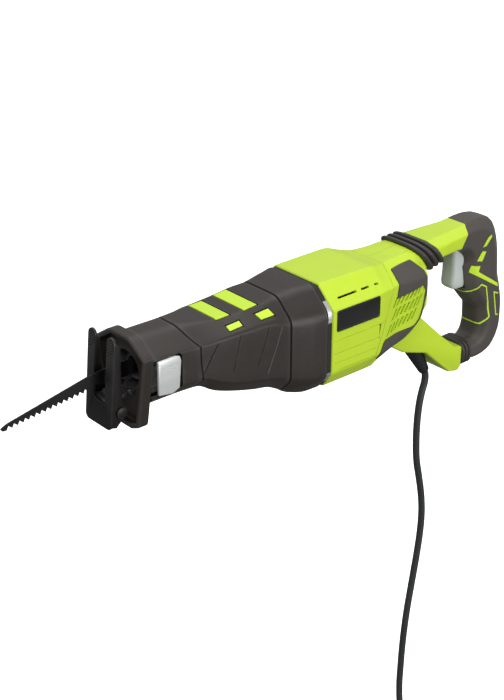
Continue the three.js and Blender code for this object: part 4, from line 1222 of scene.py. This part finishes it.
def make_world():
    """White behind everything; the light that reaches the saw is bright from above and dim from below."""
    world = bpy.data.worlds.new("studio")
    world.use_nodes = True
    tree = world.node_tree
    links = tree.links
    seen = tree.nodes["Background"]
    seen.inputs["Color"].default_value = (1, 1, 1, 1)
    seen.inputs["Strength"].default_value = 1.0
    soft = add_node(tree, "Background")
    split = add_node(tree, "SeparateXYZ")
    links.new(add_node(tree, "TexCoord").outputs["Generated"], split.inputs["Vector"])
    rise = add_node(tree, "MapRange", From_Min=-0.5, From_Max=0.9, To_Min=0.22, To_Max=0.95)
    rise.interpolation_type = "SMOOTHSTEP"
    links.new(split.outputs["Z"], rise.inputs["Value"])
    links.new(rise.outputs["Result"], soft.inputs["Strength"])
    choose = add_node(tree, "MixShader")
    links.new(add_node(tree, "LightPath").outputs["Is Camera Ray"], choose.inputs["Fac"])
    links.new(soft.outputs["Background"], choose.inputs[1])
    links.new(seen.outputs["Background"], choose.inputs[2])
    links.new(choose.outputs["Shader"], tree.nodes["World Output"].inputs["Surface"])
    bpy.context.scene.world = world


def make_floor():
    floor_z = cad_low.z - 0.01
    mesh = bpy.data.meshes.new("floor")
    corners = [(x, y, floor_z) for x, y in ((-8, -8), (8, -8), (8, 8), (-8, 8))]
    mesh.from_pydata(corners, [], [(0, 1, 2, 3)])
    floor = new_object("floor", mesh)
    pale = bpy.data.materials.new("pale_floor")
    pale.use_nodes = True
    shader = pale.node_tree.nodes["Principled BSDF"]
    shader.inputs["Base Color"].default_value = (0.9, 0.9, 0.9, 1)
    shader.inputs["Roughness"].default_value = 1.0
    shader.inputs["Emission Color"].default_value = (1, 1, 1, 1)
    shader.inputs["Emission Strength"].default_value = 0.8
    mesh.materials.append(pale)
    floor.visible_diffuse = False
    floor.visible_glossy = False


def make_stage():
    make_world()
    make_floor()
    bpy.context.scene.view_settings.view_transform = "Standard"
    target = (-0.2, 0, 0.03)
    make_light("key", (-1.3, -1.2, 1.6), target, 0.9, 15)
    make_light("top", (0.3, 0.3, 2.0), target, 1.4, 16)
    make_light("side", (0.1, -2.0, 0.1), target, 1.2, 25)


make_stage()
cord, route = make_cord()
make_hood()
make_boot()
make_boot_details()
make_button()
make_shoe()
make_shoe_pin()
make_gap_shade_ring()
make_gap_bosses()
make_barrel()
make_rear_housing()
make_bumpers()
make_badges()
make_upper_bellows()
make_lower_bellows()
make_handle()
make_accents()
make_trigger()
make_relief()
plug = make_plug()
tie = make_tie()
